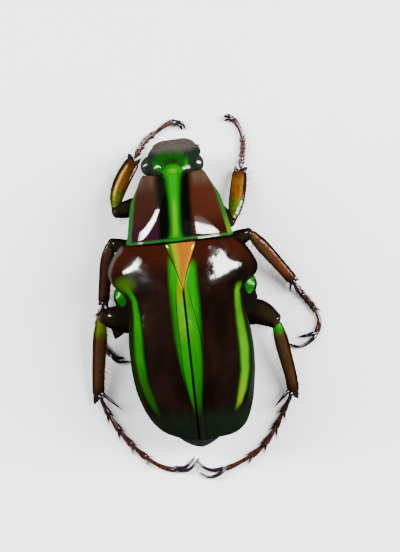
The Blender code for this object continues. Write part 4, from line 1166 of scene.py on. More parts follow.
def carve_prothorax(point, width, lift):
    """Bead the side margins and the hind margin, and bow the hind edge."""
    back = point.y - NECK
    share = min(abs(point.x) / max(width, WELD), 1.0)
    point.y -= 0.15 * share**5 * bell(back - 0.1, 0.5)
    hind = bell(back - 4.40, 0.40)
    point.y += hind * (0.05 * bell(abs(point.x) - 1.45, 0.7) - 0.16 * share**6)
    if lift > 0.0:
        point.z -= 0.05 * bell(share - 0.965, 0.016) * min(back / 1.2, 1.0)
        point.z -= 0.035 * bell(back - 4.18, 0.05)
        point.z -= 0.03 * bell(back - 0.22, 0.06)


def carve_abdomen(point, width, lift):
    """Press a groove between one ring of the belly and the next."""
    back = point.y - ABDOMEN_FRONT
    if lift < 0.2:
        deep = max(bell(back - groove, 0.06) for groove in VENTRITE_GROOVES)
        point.z += 0.07 * deep * (0.2 - lift)
        step = sum(0.018 for groove in VENTRITE_GROOVES if back > groove)
        point.z += step


def carve_pygidium(point, width, lift):
    """Raise a low keel along the tail plate."""
    if lift > 0.0:
        point.z += 0.03 * bell(point.x, 0.12)


def make_thorax_mesh(around, along):
    """Loft the middle body through its half sections, smooth in both directions."""
    count = len(THORAX_ROWS[0][1])
    flat = [(row[0], *[value for spot in row[1] for value in spot]) for row in THORAX_ROWS]
    start = flat[0][0]
    length = flat[-1][0] - start
    rings = []
    for k in range(along + 1):
        at = start + length * k / along
        values = read_row(flat, at)
        half = [(n, values[2 * n], values[2 * n + 1]) for n in range(count)]
        rings.append((at, half))

    def place(ring, turn):
        at, half = rings[ring]
        side = -1.0 if turn > 0.5 else 1.0
        t = 1.0 - abs(2.0 * turn - 1.0)
        x, z = read_row(half, t * (count - 1))
        crease = 0.10 * bell(x, 0.06) * bell(at - 3.0, 1.4)
        if t < 1.5 / (count - 1):
            z += crease
        return Vector((side * x, THORAX_FRONT + at, z))

    return roll(place, around, along)


def seam_place(y):
    """How far the seam of the wing cases lies to the left of the middle."""
    start, end = SEAM_BENDS
    t = min(max((y - start) / (end - start), 0.0), 1.0)
    return SEAM_SHIFT * t * t * (3.0 - 2.0 * t)


def scutellum_half_width(y):
    """Half the width of the scutellum, a long triangle with hollow sides."""
    share = (SCUTELLUM_TIP - y) / (SCUTELLUM_TIP - SCUTELLUM_FRONT)
    return SCUTELLUM_HALF_WIDTH * max(share, 0.0) ** SCUTELLUM_HOLLOW


def wing_case_width(at, side):
    """Half width of a wing case at a distance from its front."""
    if side > 0.0:
        return read_row(WING_CASE_ROWS, at)[0]
    waist = read_row(WING_CASE_ROWS, at + 0.50 * bell(at - 2.95, 0.90))[0]
    waist -= 0.12 * bell(at - 3.8, 1.0)
    return waist + read_row(APEX_SPREAD, at)[0]


def wing_case_height(x, y):
    """Height of the wing case's outer face; x tells the side."""
    back = y - WING_CASE_FRONT
    top, edge = read_row(WING_CASE_ROWS, back)[1:]
    side = math.copysign(1.0, x)
    away = abs(x)
    reach = min(away / wing_case_width(back, side), 1.0)
    shoulder = bell(back - SHOULDER_AT, SHOULDER_LENGTH)
    arch = 1.0 - reach ** (ARCH_POWER - SHOULDER_POWER * shoulder)
    height = edge + (top - edge) * arch ** (ARCH_ROUNDING + SHOULDER_ROUNDING * shoulder)
    for at_x, at_y, size, rise in (HUMERAL_CALLUS, APICAL_CALLUS):
        height += rise * bell(math.hypot(away - at_x, y - at_y), size)
    height += 0.06 * bell(away - 0.16, 0.14) * min(max((back - 3.0) / 2.0, 0.0), 1.0)
    groove_at = 0.62 - 0.03 * max(back - 5.0, 0.0)
    height -= 0.05 * bell(away - groove_at, 0.07) * min(max((back - 2.6) / 1.5, 0.0), 1.0)
    height -= 0.04 * bell(away - 2.60 + 0.03 * back, 0.35) * bell(back - 5.0, 2.5)
    return height + ripple(x, y, 1.3, 0.030) + ripple(x, y, 0.45, 0.010)


def make_wing_case_mesh(side, across, along):
    """Make the curved sheet of one wing case, with its edge rolled under."""
    length = WING_CASE_ROWS[-1][0]
    stations = [length * (1.0 - (1.0 - k / along) ** 1.6) for k in range(along + 1)]

    def place(ring, share):
        at = stations[ring]
        y = WING_CASE_FRONT + at
        width = wing_case_width(at, side)
        seam = min(SEAM_GAP + scutellum_half_width(y), width)
        turn = math.sin(min(share / ROLLED_FROM, 1.0) * math.pi / 2.0)
        x = seam + (width - seam) * turn
        z = wing_case_height(side * x, y)
        under = max((share - ROLLED_FROM) / (1.0 - ROLLED_FROM), 0.0)
        lip = min(LIP_REACH, 0.3 * (width - seam))
        x -= lip * under**1.6
        z -= LIP_DROP * math.sin(under * math.pi / 2.0)
        fade = max(1.0 - max(at - SKEW_FADE_START, 0.0) / SKEW_FADE_LENGTH, 0.0)
        skew = SHOULDER_SKEW * turn**2 * fade
        if side < 0.0:
            skew *= min(0.2 + at / SHOULDER_AT, 1.0)
        lead = FRONT_LEAD * max(1.0 - at / FRONT_LEAD_LENGTH, 0.0) ** 2
        return Vector((side * x + seam_place(y) * (1.0 - turn), y - side * skew - lead, z))

    bm = grid(place, across, along)
    bmesh.ops.remove_doubles(bm, verts=bm.verts, dist=WELD)
    bmesh.ops.recalc_face_normals(bm, faces=bm.faces)
    if sum(face.normal.z * face.calc_area() for face in bm.faces) < 0.0:
        bmesh.ops.reverse_faces(bm, faces=bm.faces)
    return bm


def make_scutellum_mesh(around, along):
    """Loft the long triangle between the wing cases, with a shallow groove down its middle."""
    length = SCUTELLUM_TIP - 0.02 - SCUTELLUM_FRONT

    def place(ring, turn):
        y = SCUTELLUM_FRONT + length * ring / along
        width = max(scutellum_half_width(y) - 0.01, 0.004)
        top = wing_case_height(0.0, y) + 0.03
        y -= FRONT_LEAD * max(1.0 - ring / along * 3.0, 0.0) ** 2
        angle = 2.0 * math.pi * turn
        x = width * power(math.sin(angle), 0.6)
        lift = power(math.cos(angle), 0.45)
        z = top - 0.25 * (1.0 - lift)
        if lift > 0.0:
            z -= 0.035 * bell(x, 0.18) * min(width / 0.5, 1.0)
        return Vector((x + seam_place(y), y, z))

    return roll(place, around, along)


def make_eye(name, side):
    """Make one eye and the small brow in front of it."""
    across, middle, height = EYE_PLACE
    back = middle + EYE_SKEW * side
    globe = ball((side * across, back, height), EYE_RADII, around=40, along=28)
    line = ((side * 1.30, back - 0.62, 3.12), (side * 1.66, back - 0.46, 3.20),
            (side * 1.92, back - 0.22, 3.16))
    brow = tube(line, BROW_SIZES, around=14, along=16)
    horn = shared(horn_paint, "brow horn", colours().tail_dark, colours().eye_grey)
    parts = [(globe, 0), (brow, 1)]
    finish_piece("Eye_" + name, joined(parts), [shared(eye_paint), horn], ["eye_" + name])


def make_mouthparts():
    """Make the chin, the two palps and the two jaws under the front of the head."""
    horn = shared(horn_paint, "mouth horn", colours().toe_dark, colours().toe_red)
    parts = [(ball((0.0, -9.62, 1.90), (0.56, 0.62, 0.34), around=32, along=20), 0)]
    for side in SIDES.values():
        palp = ((side * 0.25, -9.75, 1.85), (side * 0.44, -10.02, 1.76), (side * 0.36, -10.24, 1.88))
        parts.append((tube(palp, PALP_SIZES, around=12, along=16), 0))
        jaw = ((side * 0.50, -9.50, 2.05), (side * 0.62, -9.95, 2.16), (side * 0.40, -10.22, 2.28))
        parts.append((tube(jaw, JAW_SIZES, around=12, along=16), 0))
    finish_piece("Mouthparts", joined(parts), [horn], ["mouthparts"])


def make_antenna(name, side, stem, club_heading):
    """Make one antenna: the scape, its small joints and a club of three leaves."""
    horn = shared(horn_paint, "feeler horn", colours().toe_red, colours().feeler_pink)
    rows = curve_rows(stem)
    scape = (stem[0], curve_point(rows, 0.3), curve_point(rows, 0.5))
    parts = [(tube(scape, SCAPE_SIZES, around=14, along=14), 0)]
    for k in range(6):
        spot = curve_point(rows, 0.52 + 0.09 * k)
        parts.append((ball(spot, (0.12, 0.09, 0.11), around=14, along=10), 0))
    heading = Vector(club_heading).normalized()
    root = curve_point(rows, 1.0)
    for spread in (-0.17, 0.0, 0.17):
        middle = root + heading * 0.45 + UP * spread * 0.8
        tip = root + heading * 0.92 + UP * spread
        parts.append((tube((root, middle, tip), LEAF_SIZES, around=14, along=16), 0))
    stalk = joined(parts)
    finish_piece(name, stalk, [horn], ["antenna_" + side, "antenna_club_" + side])


def turn_head(piece):
    """Turn a finished piece of the head a little to the animal's right."""
    pivot = Vector((0.0, (NECK - HEAD_PIVOT) * MM, 0.0))
    turn = Matrix.Rotation(-HEAD_TURN, 4, "Z")
    piece.data.transform(Matrix.Translation(pivot) @ turn @ Matrix.Translation(-pivot))


def make_claw(spots):
    """Make one curved claw through places on the floor, arched above it."""
    last = len(spots) - 1
    points = []
    for k, spot in enumerate(spots):
        points.append((*spot, 0.24 + 0.14 * math.sin(math.pi * k / last) - 0.17 * (k / last) ** 2))
    return tube(points, CLAW_SIZES, around=12, along=26)


def make_coxa(name, pair, side):
    """Make the coxa and the small trochanter at its end."""
    start = Vector(pair["coxa"])
    start.x *= side
    hip = Vector(LEGS[name]["femur"][0])
    wide, deep = pair["coxa_size"]
    rows = ((0.0, 0.08, 0.08), (0.06, wide * 0.55, deep * 0.6), (0.35, wide, deep),
            (0.7, wide * 0.86, deep * 0.8), (0.95, wide * 0.5, deep * 0.5), (1.0, 0.08, 0.08))
    middle = (start + hip) / 2.0 - UP * 0.06
    coxa = tube((start, middle, hip + (hip - start).normalized() * 0.12), rows, around=28, along=28)
    trochanter = ball(hip + UP * -0.04, (0.32, 0.32, 0.30), around=20, along=14)
    parts = [(coxa, 0), (trochanter, 0)]
    if name.startswith("hind"):
        parts.append((tube(HIND_PLATES[name], HIND_PLATE_SIZES, around=20, along=32), 0))
    finish_piece("Coxa_" + name, joined(parts), [shared(thigh_paint)], ["coxa_" + name])


def make_femur(name, pair):
    """Make the femur, swollen in the middle and cupped round the knee."""
    hip, belly, knee = (Vector(spot) for spot in LEGS[name]["femur"])
    wide, deep = pair["femur"]
    rows = ((0.0, 0.10, 0.10), (0.03, wide * 0.50, deep * 0.5), (0.14, wide * 0.80, deep * 0.8),
            (0.40, wide, deep), (0.68, wide * 0.90, deep * 0.90), (0.88, wide * 0.66, deep * 0.70),
            (0.97, wide * 0.50, deep * 0.56), (1.0, 0.12, 0.12))
    start = hip - (belly - hip).normalized() * 0.1
    end = knee + (knee - belly).normalized() * 0.22
    thigh = tube((start, belly, end), rows, around=28, along=44, keel=0.10)
    finish_piece("Femur_" + name, thigh, [shared(thigh_paint)], ["femur_" + name])


def make_tibia(name, pair):
    """Make the tibia with its outer teeth, end spines and spurs."""
    leg = LEGS[name]
    line = [Vector(spot) for spot in leg["tibia"]]
    ankle = line[-1]
    wide, deep = pair["tibia"]
    fore = name.startswith("fore")
    if fore:
        shape = ((0.0, 0.10, 0.10), (0.02, 0.34, 0.32), (0.10, wide * 0.56, deep * 0.8),
                 (0.30, wide * 0.86, deep), (0.55, wide, deep), (0.85, wide * 0.94, deep * 0.9),
                 (0.97, wide * 0.78, deep * 0.7), (1.0, 0.14, 0.14))
    else:
        shape = ((0.0, 0.14, 0.12), (0.02, 0.46, 0.40), (0.09, wide * 0.82, deep * 0.9),
                 (0.26, wide * 1.04, deep), (0.50, wide, deep), (0.85, wide * 0.90, deep),
                 (0.97, wide * 0.88, deep * 0.86), (1.0, 0.16, 0.16))
    rows = curve_rows(line)
    parts = [(tube(line, shape, around=24, along=64, keel=0.14), 0)]
    for share, breadth, x, y, z in leg["teeth"]:
        root = curve_point(rows, share - 0.06)
        tip = Vector((x, y, z))
        middle = root.lerp(tip, 0.6) + (curve_point(rows, share) - root) * 0.25
        girth = ((0.0, breadth, 0.34), (0.45, breadth * 0.72, 0.28), (0.8, breadth * 0.40, 0.16),
                 (1.0, 0.03, 0.03))
        parts.append((tube((root, middle, tip), girth, around=12, along=12), 1))
    for root, tip in leg["spurs"]:
        parts.append((spike(root, tip, 0.13, sag=0.05, around=10), 1))
    ahead = (ankle - line[-2]).normalized()
    across = sideways(ahead)
    for k in range(7):
        swing = -1.0 + 2.0 * k / 6
        root = ankle - ahead * 0.10 + across * swing * wide * 0.36 - UP * 0.05
        tip = root + ahead * (0.34 + 0.08 * (k % 2)) + across * swing * 0.06
        parts.append((spike(root, tip, 0.05, around=6), 1))
    if not fore:
        for share in (0.30, 0.45, 0.75, 0.86):
            centre = curve_point(rows, share)
            root = centre + across * (wide * 0.40) * (1.0 if share < 0.6 else -1.0)
            parts.append((spike(root, root + ahead * 0.28 + (root - centre) * 0.5, 0.05, around=6), 1))
    horns = [tibia_paint(name), claw_paint()]
    finish_piece("Tibia_" + name, joined(parts), horns, ["tibia_" + name])


def make_foot(name, pair):
    """Make the five toe joints with their spines, and return the foot's line."""
    leg = LEGS[name]
    flat = curve_rows(leg["toes"])
    length = flat[-1][0]
    points = [Vector((x, y, read_row(TOE_HEIGHTS, run / length)[0])) for run, x, y in flat]
    rows = curve_rows(points)
    joints = pair["joints"]
    parts = []
    for number, (start, end) in enumerate(zip(joints, joints[1:])):
        last = number == len(joints) - 2
        begin = max(start - 0.02, 0.0)
        spots = [curve_point(rows, begin + (end - begin) * k / 4) for k in range(5)]
        girth = LAST_TOE_SIZES if last else TOE_SIZES
        parts.append((tube(spots, girth, around=16, along=20, keel=0.04), 0))
        if last:
            continue
        tip_at = curve_point(rows, end - 0.012)
        ahead = bearing(rows, end - 0.02, end + 0.02)
        across = sideways(ahead) * spine_side(name)
        for swing, reach, drop in TOE_SPINES:
            root = tip_at + across * swing * 0.11
            tip = root + (ahead * 0.88 + across * swing * 0.40) * pair["spine"] * reach + UP * drop
            tip.z = max(tip.z, 0.03)
            parts.append((spike(root, tip, 0.065, around=6), 1))
    under = 4 + int(length * 1.4)
    for k in range(under):
        share = (k + 0.5) / under
        root = curve_point(rows, share) - UP * 0.08
        ahead = bearing(rows, share, share + 0.02)
        tip = root + ahead * 0.20 + UP * -0.06
        tip.z = max(tip.z, 0.01)
        parts.append((spike(root, tip, 0.02, around=5), 1))
    horn = shared(toe_paint, "fore" if name.startswith("fore") else "hind")
    finish_piece("Tarsus_" + name, joined(parts), [horn, claw_paint()], ["tarsus_" + name])
    return points


def spine_side(name):
    """Tell on which side of the foot its long spines stand, seen along the foot."""
    return side_of(name) * (-1.0 if name.startswith("fore") else 1.0)


def make_claws(name, line):
    """Make the two claws and the bristled pad between their roots."""
    ahead = (line[-1] - line[-2]).normalized()
    across = sideways(ahead)
    root = line[-1] + ahead * 0.02
    parts = [(make_claw(spots), 0) for spots in LEGS[name]["claws"]]
    parts.append((ball(root, (0.16, 0.16, 0.14), around=16, along=12), 0))
    for swing in (-0.05, 0.05):
        start = root + ahead * 0.08
        parts.append((spike(start, start + ahead * 0.30 + across * swing - UP * 0.05, 0.02, around=5), 0))
    finish_piece("Claws_" + name, joined(parts), [claw_paint()], ["claws_" + name])


def scatter_hairs(name, anchors, length, radius, paint):
    """Make a fringe of fine tapered hairs, each with its own spot on the fringe's bake map."""
    whole = bmesh.new()
    bake = whole.loops.layers.uv.new("OFBake")
    patch = 0.003
    for root, lean, u, v in anchors:
        reach = length * random.uniform(0.7, 1.2)
        tip = root + lean.normalized() * reach
        turn = (tip - root).to_track_quat("Z", "Y").to_matrix().to_4x4()
        place = Matrix.Translation((root + tip) / 2.0) @ turn
        made = bmesh.ops.create_cone(whole, cap_ends=True, segments=4, radius1=radius,
                                     radius2=radius * 0.12,
                                     depth=reach, matrix=place)
        faces = {face for vert in made["verts"] for face in vert.link_faces}
        for face in faces:
            for corner, loop in enumerate(face.loops):
                loop[bake].uv = (u + patch * (corner % 2), v + patch * (corner // 2 % 2))
    return finish_piece(name, whole, [paint], [])


def limb_anchors(rows, start, end, count, lean_side, spread, lift):
    """Return roots and leans of hairs in a fringe along a limb."""
    anchors = []
    for k in range(count):
        share = start + (end - start) * (k + random.random()) / count
        centre = curve_point(rows, share)
        ahead = bearing(rows, share - 0.03, share + 0.03)
        across = sideways(ahead) * lean_side
        root = centre + across * spread + UP * random.uniform(-0.12, 0.12)
        lean = across + ahead * random.uniform(0.3, 0.9) + UP * (lift + random.uniform(-0.35, 0.35))
        anchors.append((root, lean, 0.02 + 0.95 * share, random.uniform(0.1, 0.9)))
    return anchors


class BeetleSizes(bpy.types.PropertyGroup):
    """Sizes that a user may change, in millimetres."""

    wing_case_thickness: FloatProperty(
        name="Wing Case Thickness", description="Thickness of the shell of each wing case, in millimetres",
        default=0.16, min=0.05, max=0.5)
    pit_spacing: FloatProperty(
        name="Pit Spacing", description="Distance between the fine pits of the shell, in millimetres",
        default=0.30, min=0.05, max=2.0)
    hair_length: FloatProperty(
        name="Hair Length", description="Length of the hairs on the legs, in millimetres",
        default=0.62, min=0.05, max=2.0)
    hair_radius: FloatProperty(
        name="Hair Radius", description="Radius of a hair at its root, in millimetres",
        default=0.015, min=0.002, max=0.1)
    hair_seed: IntProperty(name="Hair Seed", description="Seed of the hairs' random lie", default=11, min=0)


def colour(name, description, default):
    """Return a colour property."""
    return FloatVectorProperty(name=name, description=description, subtype="COLOR", size=3, min=0.0,
                               max=1.0,
                               default=default)


class BeetleColours(bpy.types.PropertyGroup):
    """Colours of the shell and the legs."""

    stripe_green: colour("Stripe Green", "Green of the stripes", (0.0008, 0.150, 0.0006))
    stripe_fringe: colour("Stripe Fringe", "Darker green at the edges of the stripes",
                          (0.0006, 0.070, 0.0004))
    stripe_yellow: colour("Stripe Yellow", "Yellow-green in the middle of a stripe", (0.062, 0.19, 0.0004))
    side_yellow: colour("Side Yellow", "Yellow-green of the right side stripe", (0.115, 0.16, 0.001))
    margin_green: colour("Margin Green", "Green of the prothorax's margins", (0.010, 0.060, 0.010))
    margin_yellow: colour("Margin Yellow", "Yellow-green low on the right margin", (0.040, 0.120, 0.004))
    black_green: colour("Black Green", "Dark bands beside the middle stripe", (0.0007, 0.0014, 0.0003))
    maroon_left: colour("Left Maroon", "Maroon of the prothorax's left side", (0.020, 0.0075, 0.0048))
    maroon_purple: colour("Purple Maroon", "Purple at the hind left of the prothorax",
                          (0.015, 0.0030, 0.0090))
    maroon_right: colour("Right Maroon", "Maroon of the prothorax's right side", (0.032, 0.0078, 0.0036))
    maroon_low: colour("Hind Maroon", "Maroon at the hind right of the prothorax", (0.016, 0.0028, 0.0017))
    maroon_deep: colour("Deep Maroon", "Darkest specks of the maroon", (0.008, 0.0012, 0.0008))
    # Painted mauve-grey reflection on the left shoulder's outer rim.
    shoulder_mauve: colour("Shoulder Mauve", "Rim of the left wing case's shoulder", (0.034, 0.026, 0.025))
    corner_brown: colour("Corner Brown", "Grey-brown streaks at the front corners", (0.042, 0.027, 0.018))
    wing_black: colour("Wing Case Black", "Darkest colour of the wing cases", (0.0028, 0.0014, 0.0009))
    wing_maroon: colour("Wing Case Maroon", "Lightest colour of the wing cases", (0.0064, 0.0022, 0.0014))
    halo_olive: colour("Halo Olive", "Glow where the left side stripe starts", (0.022, 0.060, 0.003))
    seam_gold: colour("Seam Gold", "Golden start of the left middle stripe", (0.150, 0.105, 0.0008))
    wing_base: colour("Wing Case Base", "Red-brown at the front of the wing cases", (0.018, 0.0036, 0.0016))
    wing_apex: colour("Wing Case End", "Green-black at the end of the wing cases", (0.0042, 0.0068, 0.0040))
    rim_left: colour("Left Rim", "Outer rim of the left wing case", (0.0006, 0.0100, 0.0005))
    # Dark green with a painted grey reflection of the floor, on the right wing case's outer rim.
    rim_right: colour("Right Rim Reflection", "Outer rim of the right wing case", (0.009, 0.015, 0.009))
    seam_black: colour("Seam Black", "Seams and grooves", (0.0004, 0.0009, 0.0004))
    scutellum_orange: colour("Scutellum Orange", "Middle of the scutellum", (0.27, 0.074, 0.0002))
    scutellum_pale: colour("Scutellum Pale", "Hind middle of the scutellum", (0.20, 0.100, 0.0006))
    scutellum_yellow: colour("Scutellum Yellow", "Beside the orange", (0.17, 0.200, 0.0005))
    scutellum_edge: colour("Scutellum Edge", "Edges of the scutellum", (0.018, 0.062, 0.0006))
    plate_green: colour("Plate Green", "Bright plates at the sides of the body", (0.001, 0.075, 0.001))
    belly_green: colour("Belly Green", "Underside", (0.0020, 0.0036, 0.0018))
    cheek_dark: colour("Cheek Dark", "Black-green of the head's sides", (0.0060, 0.0080, 0.0056))
    head_umber: colour("Head Umber", "Dark middle of the face", (0.0050, 0.0120, 0.0020))
    clypeus_brown: colour("Clypeus Brown", "Front of the head", (0.038, 0.034, 0.029))
    head_green: colour("Head Green", "Between the eyes", (0.0024, 0.036, 0.0018))
    eye_grey: colour("Eye Grey", "Eyes", (0.014, 0.016, 0.012))
    thigh_dark: colour("Thigh Dark", "Darkest colour of the femora", (0.0036, 0.0024, 0.0018))
    # Painted grey-green sheen along the outer edges of the middle and hind tibiae.
    tibia_olive: colour("Tibia Olive", "Outer edges of the middle and hind tibiae", (0.024, 0.026, 0.012))
    # Painted brown sheen on top of the femora.
    thigh_warm: colour("Thigh Warm", "Olive brown gleam of the femora", (0.016, 0.0105, 0.0044))
    tibia_dark: colour("Tibia Dark", "Edges of the tibiae", (0.0060, 0.0026, 0.0016))
    tibia_orange: colour("Tibia Orange", "Fore tibiae", (0.112, 0.038, 0.0034))
    tibia_warm: colour("Tibia Warm", "Right middle tibia", (0.062, 0.0150, 0.0045))
    tibia_red: colour("Tibia Red", "Left middle tibia", (0.030, 0.0100, 0.0064))
    tibia_brown: colour("Tibia Brown", "Hind tibiae", (0.033, 0.0140, 0.0050))
    # Painted highlight along the ridge of the fore tibiae.
    tibia_cream: colour("Tibia Cream", "Pale ridge of the tibiae", (0.38, 0.25, 0.055))
    knee_green: colour("Knee Green", "Yellow-green by the knees", (0.050, 0.075, 0.0012))
    toe_dark: colour("Toe Dark", "Darkest colour of the toe joints", (0.008, 0.0030, 0.0024))
    toe_red: colour("Toe Red", "Hind and middle toe joints", (0.046, 0.0130, 0.0080))
    toe_pink: colour("Toe Pink", "Fore toe joints", (0.070, 0.030, 0.026))
    feeler_pink: colour("Feeler Pink", "Feelers", (0.220, 0.070, 0.050))
    claw_dark: colour("Claw Dark", "Darkest colour of claws and spines", (0.0040, 0.0022, 0.0030))
    claw_purple: colour("Claw Purple", "Lightest colour of claws and spines", (0.016, 0.0090, 0.015))
    hair_brown: colour("Hair Brown", "Darkest hairs", (0.060, 0.030, 0.015))
    hair_pale: colour("Hair Pale", "Palest hairs", (0.150, 0.085, 0.045))
    tail_dark: colour("Tail Dark", "Darkest colour of the tail plate", (0.0060, 0.0084, 0.0070))
    tail_grey: colour("Tail Grey", "Lightest colour of the tail plate", (0.019, 0.024, 0.021))


class BeetleStudio(bpy.types.PropertyGroup):
    """Floor and light."""

    floor_size: FloatProperty(name="Floor Size", description="Side of the floor", default=8.0,
                              subtype="DISTANCE",
                              unit="LENGTH", min=0.1)
    sky: FloatProperty(name="Sky", description="Strength of the even light", default=0.08, min=0.0)
    lamp_distance: FloatProperty(name="Lamp Distance", description="Distance from the beetle to the lamps",
                                 default=0.335, subtype="DISTANCE", unit="LENGTH", min=0.05)
    lamp_power: FloatProperty(name="Lamp Power", description="Brightness of the soft lamps", default=1.0,
                              min=0.0)
    floor_grey: colour("Floor Grey", "Darkest colour of the floor", (0.88, 0.885, 0.89))
    floor_white: colour("Floor White", "Lightest colour of the floor", (0.92, 0.92, 0.92))
    sky_colour: colour("Sky Colour", "Colour of the even light", (0.96, 0.98, 1.0))


class BEETLE_OT_head(bpy.types.Operator):
    """Model the head, its eyes, feelers and mouthparts"""

    bl_idname = "beetle.head"
    bl_label = "Head"

    def execute(self, context):
        before = set(bpy.data.objects)
        head = trunk(HEAD_ROWS, HEAD_FRONT, around=96, along=90, bulge=0.78, carve=carve_head)
        finish_piece("Head", head, [head_paint()], ["head"])
        for name, side in SIDES.items():
            make_eye(name, side)
        make_antenna("Antenna_left", "left",
                     ((1.25, -9.20, 2.30), (1.10, -9.10, 1.86), (0.88, -9.40, 1.72)),
                     (0.02, -1.0, 0.0))
        make_antenna("Antenna_right", "right",
                     ((-1.25, -9.25, 2.35), (-1.24, -9.18, 1.92), (-1.26, -9.50, 1.80)),
                     (-0.55, -0.84, 0.06))
        make_mouthparts()
        for piece in set(bpy.data.objects) - before:
            turn_head(piece)
        return {"FINISHED"}


class BEETLE_OT_trunk(bpy.types.Operator):
    """Model the prothorax, the middle body, the abdomen and the tail plate"""

    bl_idname = "beetle.trunk"
    bl_label = "Trunk"

    def execute(self, context):
        prothorax = trunk(PROTHORAX_ROWS, NECK, around=160, along=112, bulge=0.86, carve=carve_prothorax)
        finish_piece("Prothorax", prothorax, [prothorax_paint()], ["prothorax"])
        thorax = make_thorax_mesh(around=120, along=110)
        finish_piece("Thorax", thorax, [belly_paint()], ["thorax"])
        abdomen = trunk(ABDOMEN_ROWS, ABDOMEN_FRONT, around=96, along=150, carve=carve_abdomen)
        finish_piece("Abdomen", abdomen, [abdomen_paint()], ["abdomen"])
        tail = trunk(PYGIDIUM_ROWS, PYGIDIUM_FRONT, around=64, along=40, carve=carve_pygidium)
        finish_piece("Tail_plate", tail, [pygidium_paint()], ["pygidium"])
        return {"FINISHED"}


class BEETLE_OT_wing_cases(bpy.types.Operator):
    """Model the scutellum and the two wing cases"""

    bl_idname = "beetle.wing_cases"
    bl_label = "Wing Cases"

    def execute(self, context):
        plate = make_scutellum_mesh(around=48, along=40)
        finish_piece("Scutellum", plate, [scutellum_paint()], ["scutellum"])
        shell = wing_case_paint()
        for name, side in SIDES.items():
            case = make_wing_case_mesh(side, across=84, along=150)
            piece = finish_piece("Wing_case_" + name, case, [shell], ["elytron_" + name])
            wall = piece.modifiers.new("Wall", "SOLIDIFY")
            wall.thickness = sizes().wing_case_thickness * MM
            wall.offset = -1.0
            wall.use_rim = True
        return {"FINISHED"}


class BEETLE_OT_legs(bpy.types.Operator):
    """Model the six legs from coxa to claws"""

    bl_idname = "beetle.legs"
    bl_label = "Legs"

    def execute(self, context):
        for name in LEGS:
            pair = PAIRS[pair_of(name)]
            make_coxa(name, pair, side_of(name))
            make_femur(name, pair)
            make_tibia(name, pair)
            line = make_foot(name, pair)
            make_claws(name, line)
        return {"FINISHED"}


class BEETLE_OT_hair(bpy.types.Operator):
    """Model the fine hairs on the legs"""

    bl_idname = "beetle.hair"
    bl_label = "Hair"

    def execute(self, context):
        random.seed(sizes().hair_seed)
        horn = shared(horn_paint, "hair horn", colours().hair_brown, colours().hair_pale, 0.0)
        for name, leg in LEGS.items():
            pair = PAIRS[pair_of(name)]
            inward = -side_of(name)
            shin = curve_rows(leg["tibia"])
            thigh = curve_rows(leg["femur"])
            count = SHIN_HAIRS[pair_of(name)]
            anchors = limb_anchors(shin, 0.12, 0.94, count, inward, pair["tibia"][0] * 0.40, 0.0)
            anchors += limb_anchors(thigh, 0.25, 0.92, THIGH_HAIRS, inward, pair["femur"][0] * 0.36, -0.5)
            length = sizes().hair_length
            scatter_hairs("Hair_" + name, anchors, length, sizes().hair_radius, horn)
        return {"FINISHED"}


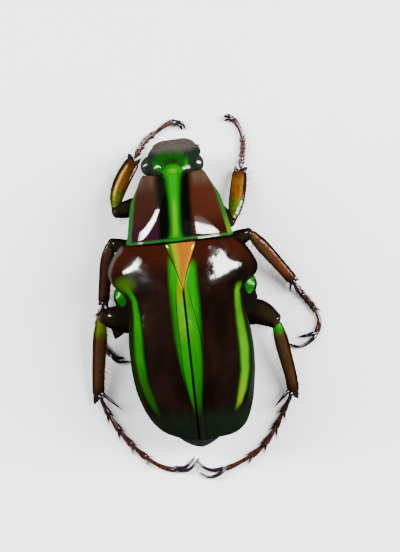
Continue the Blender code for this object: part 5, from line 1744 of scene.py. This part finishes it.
class BEETLE_OT_studio(bpy.types.Operator):
    """Set up the floor, the soft lamps and the camera"""

    bl_idname = "beetle.studio"
    bl_label = "Studio"

    def execute(self, context):
        studio = context.scene.beetle_studio
        bm = bmesh.new()
        bmesh.ops.create_grid(bm, x_segments=2, y_segments=2, size=studio.floor_size / 2.0)
        mesh = bpy.data.meshes.new("Floor")
        bm.to_mesh(mesh)
        bm.free()
        paper = Paint("white paper")
        paper.axes()
        mottle = paper.noise(0.15, detail=3.0)
        sheet = paper.mix(mottle, studio.floor_grey, studio.floor_white)
        mesh.materials.append(paper.finish(base_color=sheet, roughness=0.9))
        floor = bpy.data.objects.new("Floor", mesh)
        context.scene.collection.objects.link(floor)

        world = bpy.data.worlds.new("Studio air")
        context.scene.world = world
        world.use_nodes = True
        air = world.node_tree.nodes["Background"]
        air.inputs["Color"].default_value = (*studio.sky_colour, 1.0)
        air.inputs["Strength"].default_value = studio.sky

        target = Vector(LAMP_TARGET) * MM
        for name, heading, run, width, length, share in LAMPS:
            toward = Vector(heading).normalized()
            across = Vector(run).cross(toward).normalized()
            facing = Matrix((across, toward.cross(across), toward)).transposed()
            light = bpy.data.lights.new(name, "AREA")
            light.shape = "RECTANGLE"
            light.size = width
            light.size_y = length
            light.energy = studio.lamp_power * share
            lamp = bpy.data.objects.new(name, light)
            lamp.location = target + toward * studio.lamp_distance
            lamp.rotation_euler = facing.to_euler()
            context.scene.collection.objects.link(lamp)

        lens = bpy.data.cameras.new("Camera")
        lens.sensor_fit = "AUTO"
        lens.sensor_width = SENSOR
        lens.lens = SENSOR * (LENS_DISTANCE - VIEW_CENTRE[2]) / (PHOTO_HEIGHT * MM_PER_PIXEL)
        lens.clip_start = 0.01
        lens.clip_end = 100.0
        camera = bpy.data.objects.new("Camera", lens)
        camera.location = (VIEW_CENTRE[0] * MM, VIEW_CENTRE[1] * MM, LENS_DISTANCE * MM)
        camera.rotation_euler = (0.0, 0.0, math.pi - BODY_TURN)
        context.scene.collection.objects.link(camera)
        context.scene.camera = camera
        return {"FINISHED"}


class BEETLE_PT_panel(bpy.types.Panel):
    """List the beetle's operators, sizes and colours"""

    bl_label = "Flower Beetle"
    bl_idname = "BEETLE_PT_panel"
    bl_space_type = "VIEW_3D"
    bl_region_type = "UI"
    bl_category = "Beetle"

    def draw(self, context):
        layout = self.layout
        for operator in OPERATORS:
            layout.operator(operator.bl_idname)
        for group in (context.scene.beetle_sizes, context.scene.beetle_colours,
                      context.scene.beetle_studio):
            box = layout.box()
            for key in group.bl_rna.properties.keys():
                if key not in {"rna_type", "name"}:
                    box.prop(group, key)


OPERATORS = (
    BEETLE_OT_head, BEETLE_OT_trunk, BEETLE_OT_wing_cases, BEETLE_OT_legs, BEETLE_OT_hair, BEETLE_OT_studio,
)
CLASSES = (BeetleSizes, BeetleColours, BeetleStudio, *OPERATORS, BEETLE_PT_panel)


def register():
    """Register the classes and hang their settings on the scene."""
    for item in CLASSES:
        bpy.utils.register_class(item)
    bpy.types.Scene.beetle_sizes = PointerProperty(type=BeetleSizes)
    bpy.types.Scene.beetle_colours = PointerProperty(type=BeetleColours)
    bpy.types.Scene.beetle_studio = PointerProperty(type=BeetleStudio)


def unregister():
    """Undo register."""
    del bpy.types.Scene.beetle_studio
    del bpy.types.Scene.beetle_colours
    del bpy.types.Scene.beetle_sizes
    for item in reversed(CLASSES):
        bpy.utils.unregister_class(item)


def main():
    """Build the beetle."""
    register()
    bpy.ops.beetle.head()
    bpy.ops.beetle.trunk()
    bpy.ops.beetle.wing_cases()
    bpy.ops.beetle.legs()
    bpy.ops.beetle.hair()
    bpy.ops.beetle.studio()
    bpy.context.view_layer.update()


if __name__ == "__main__":
    main()
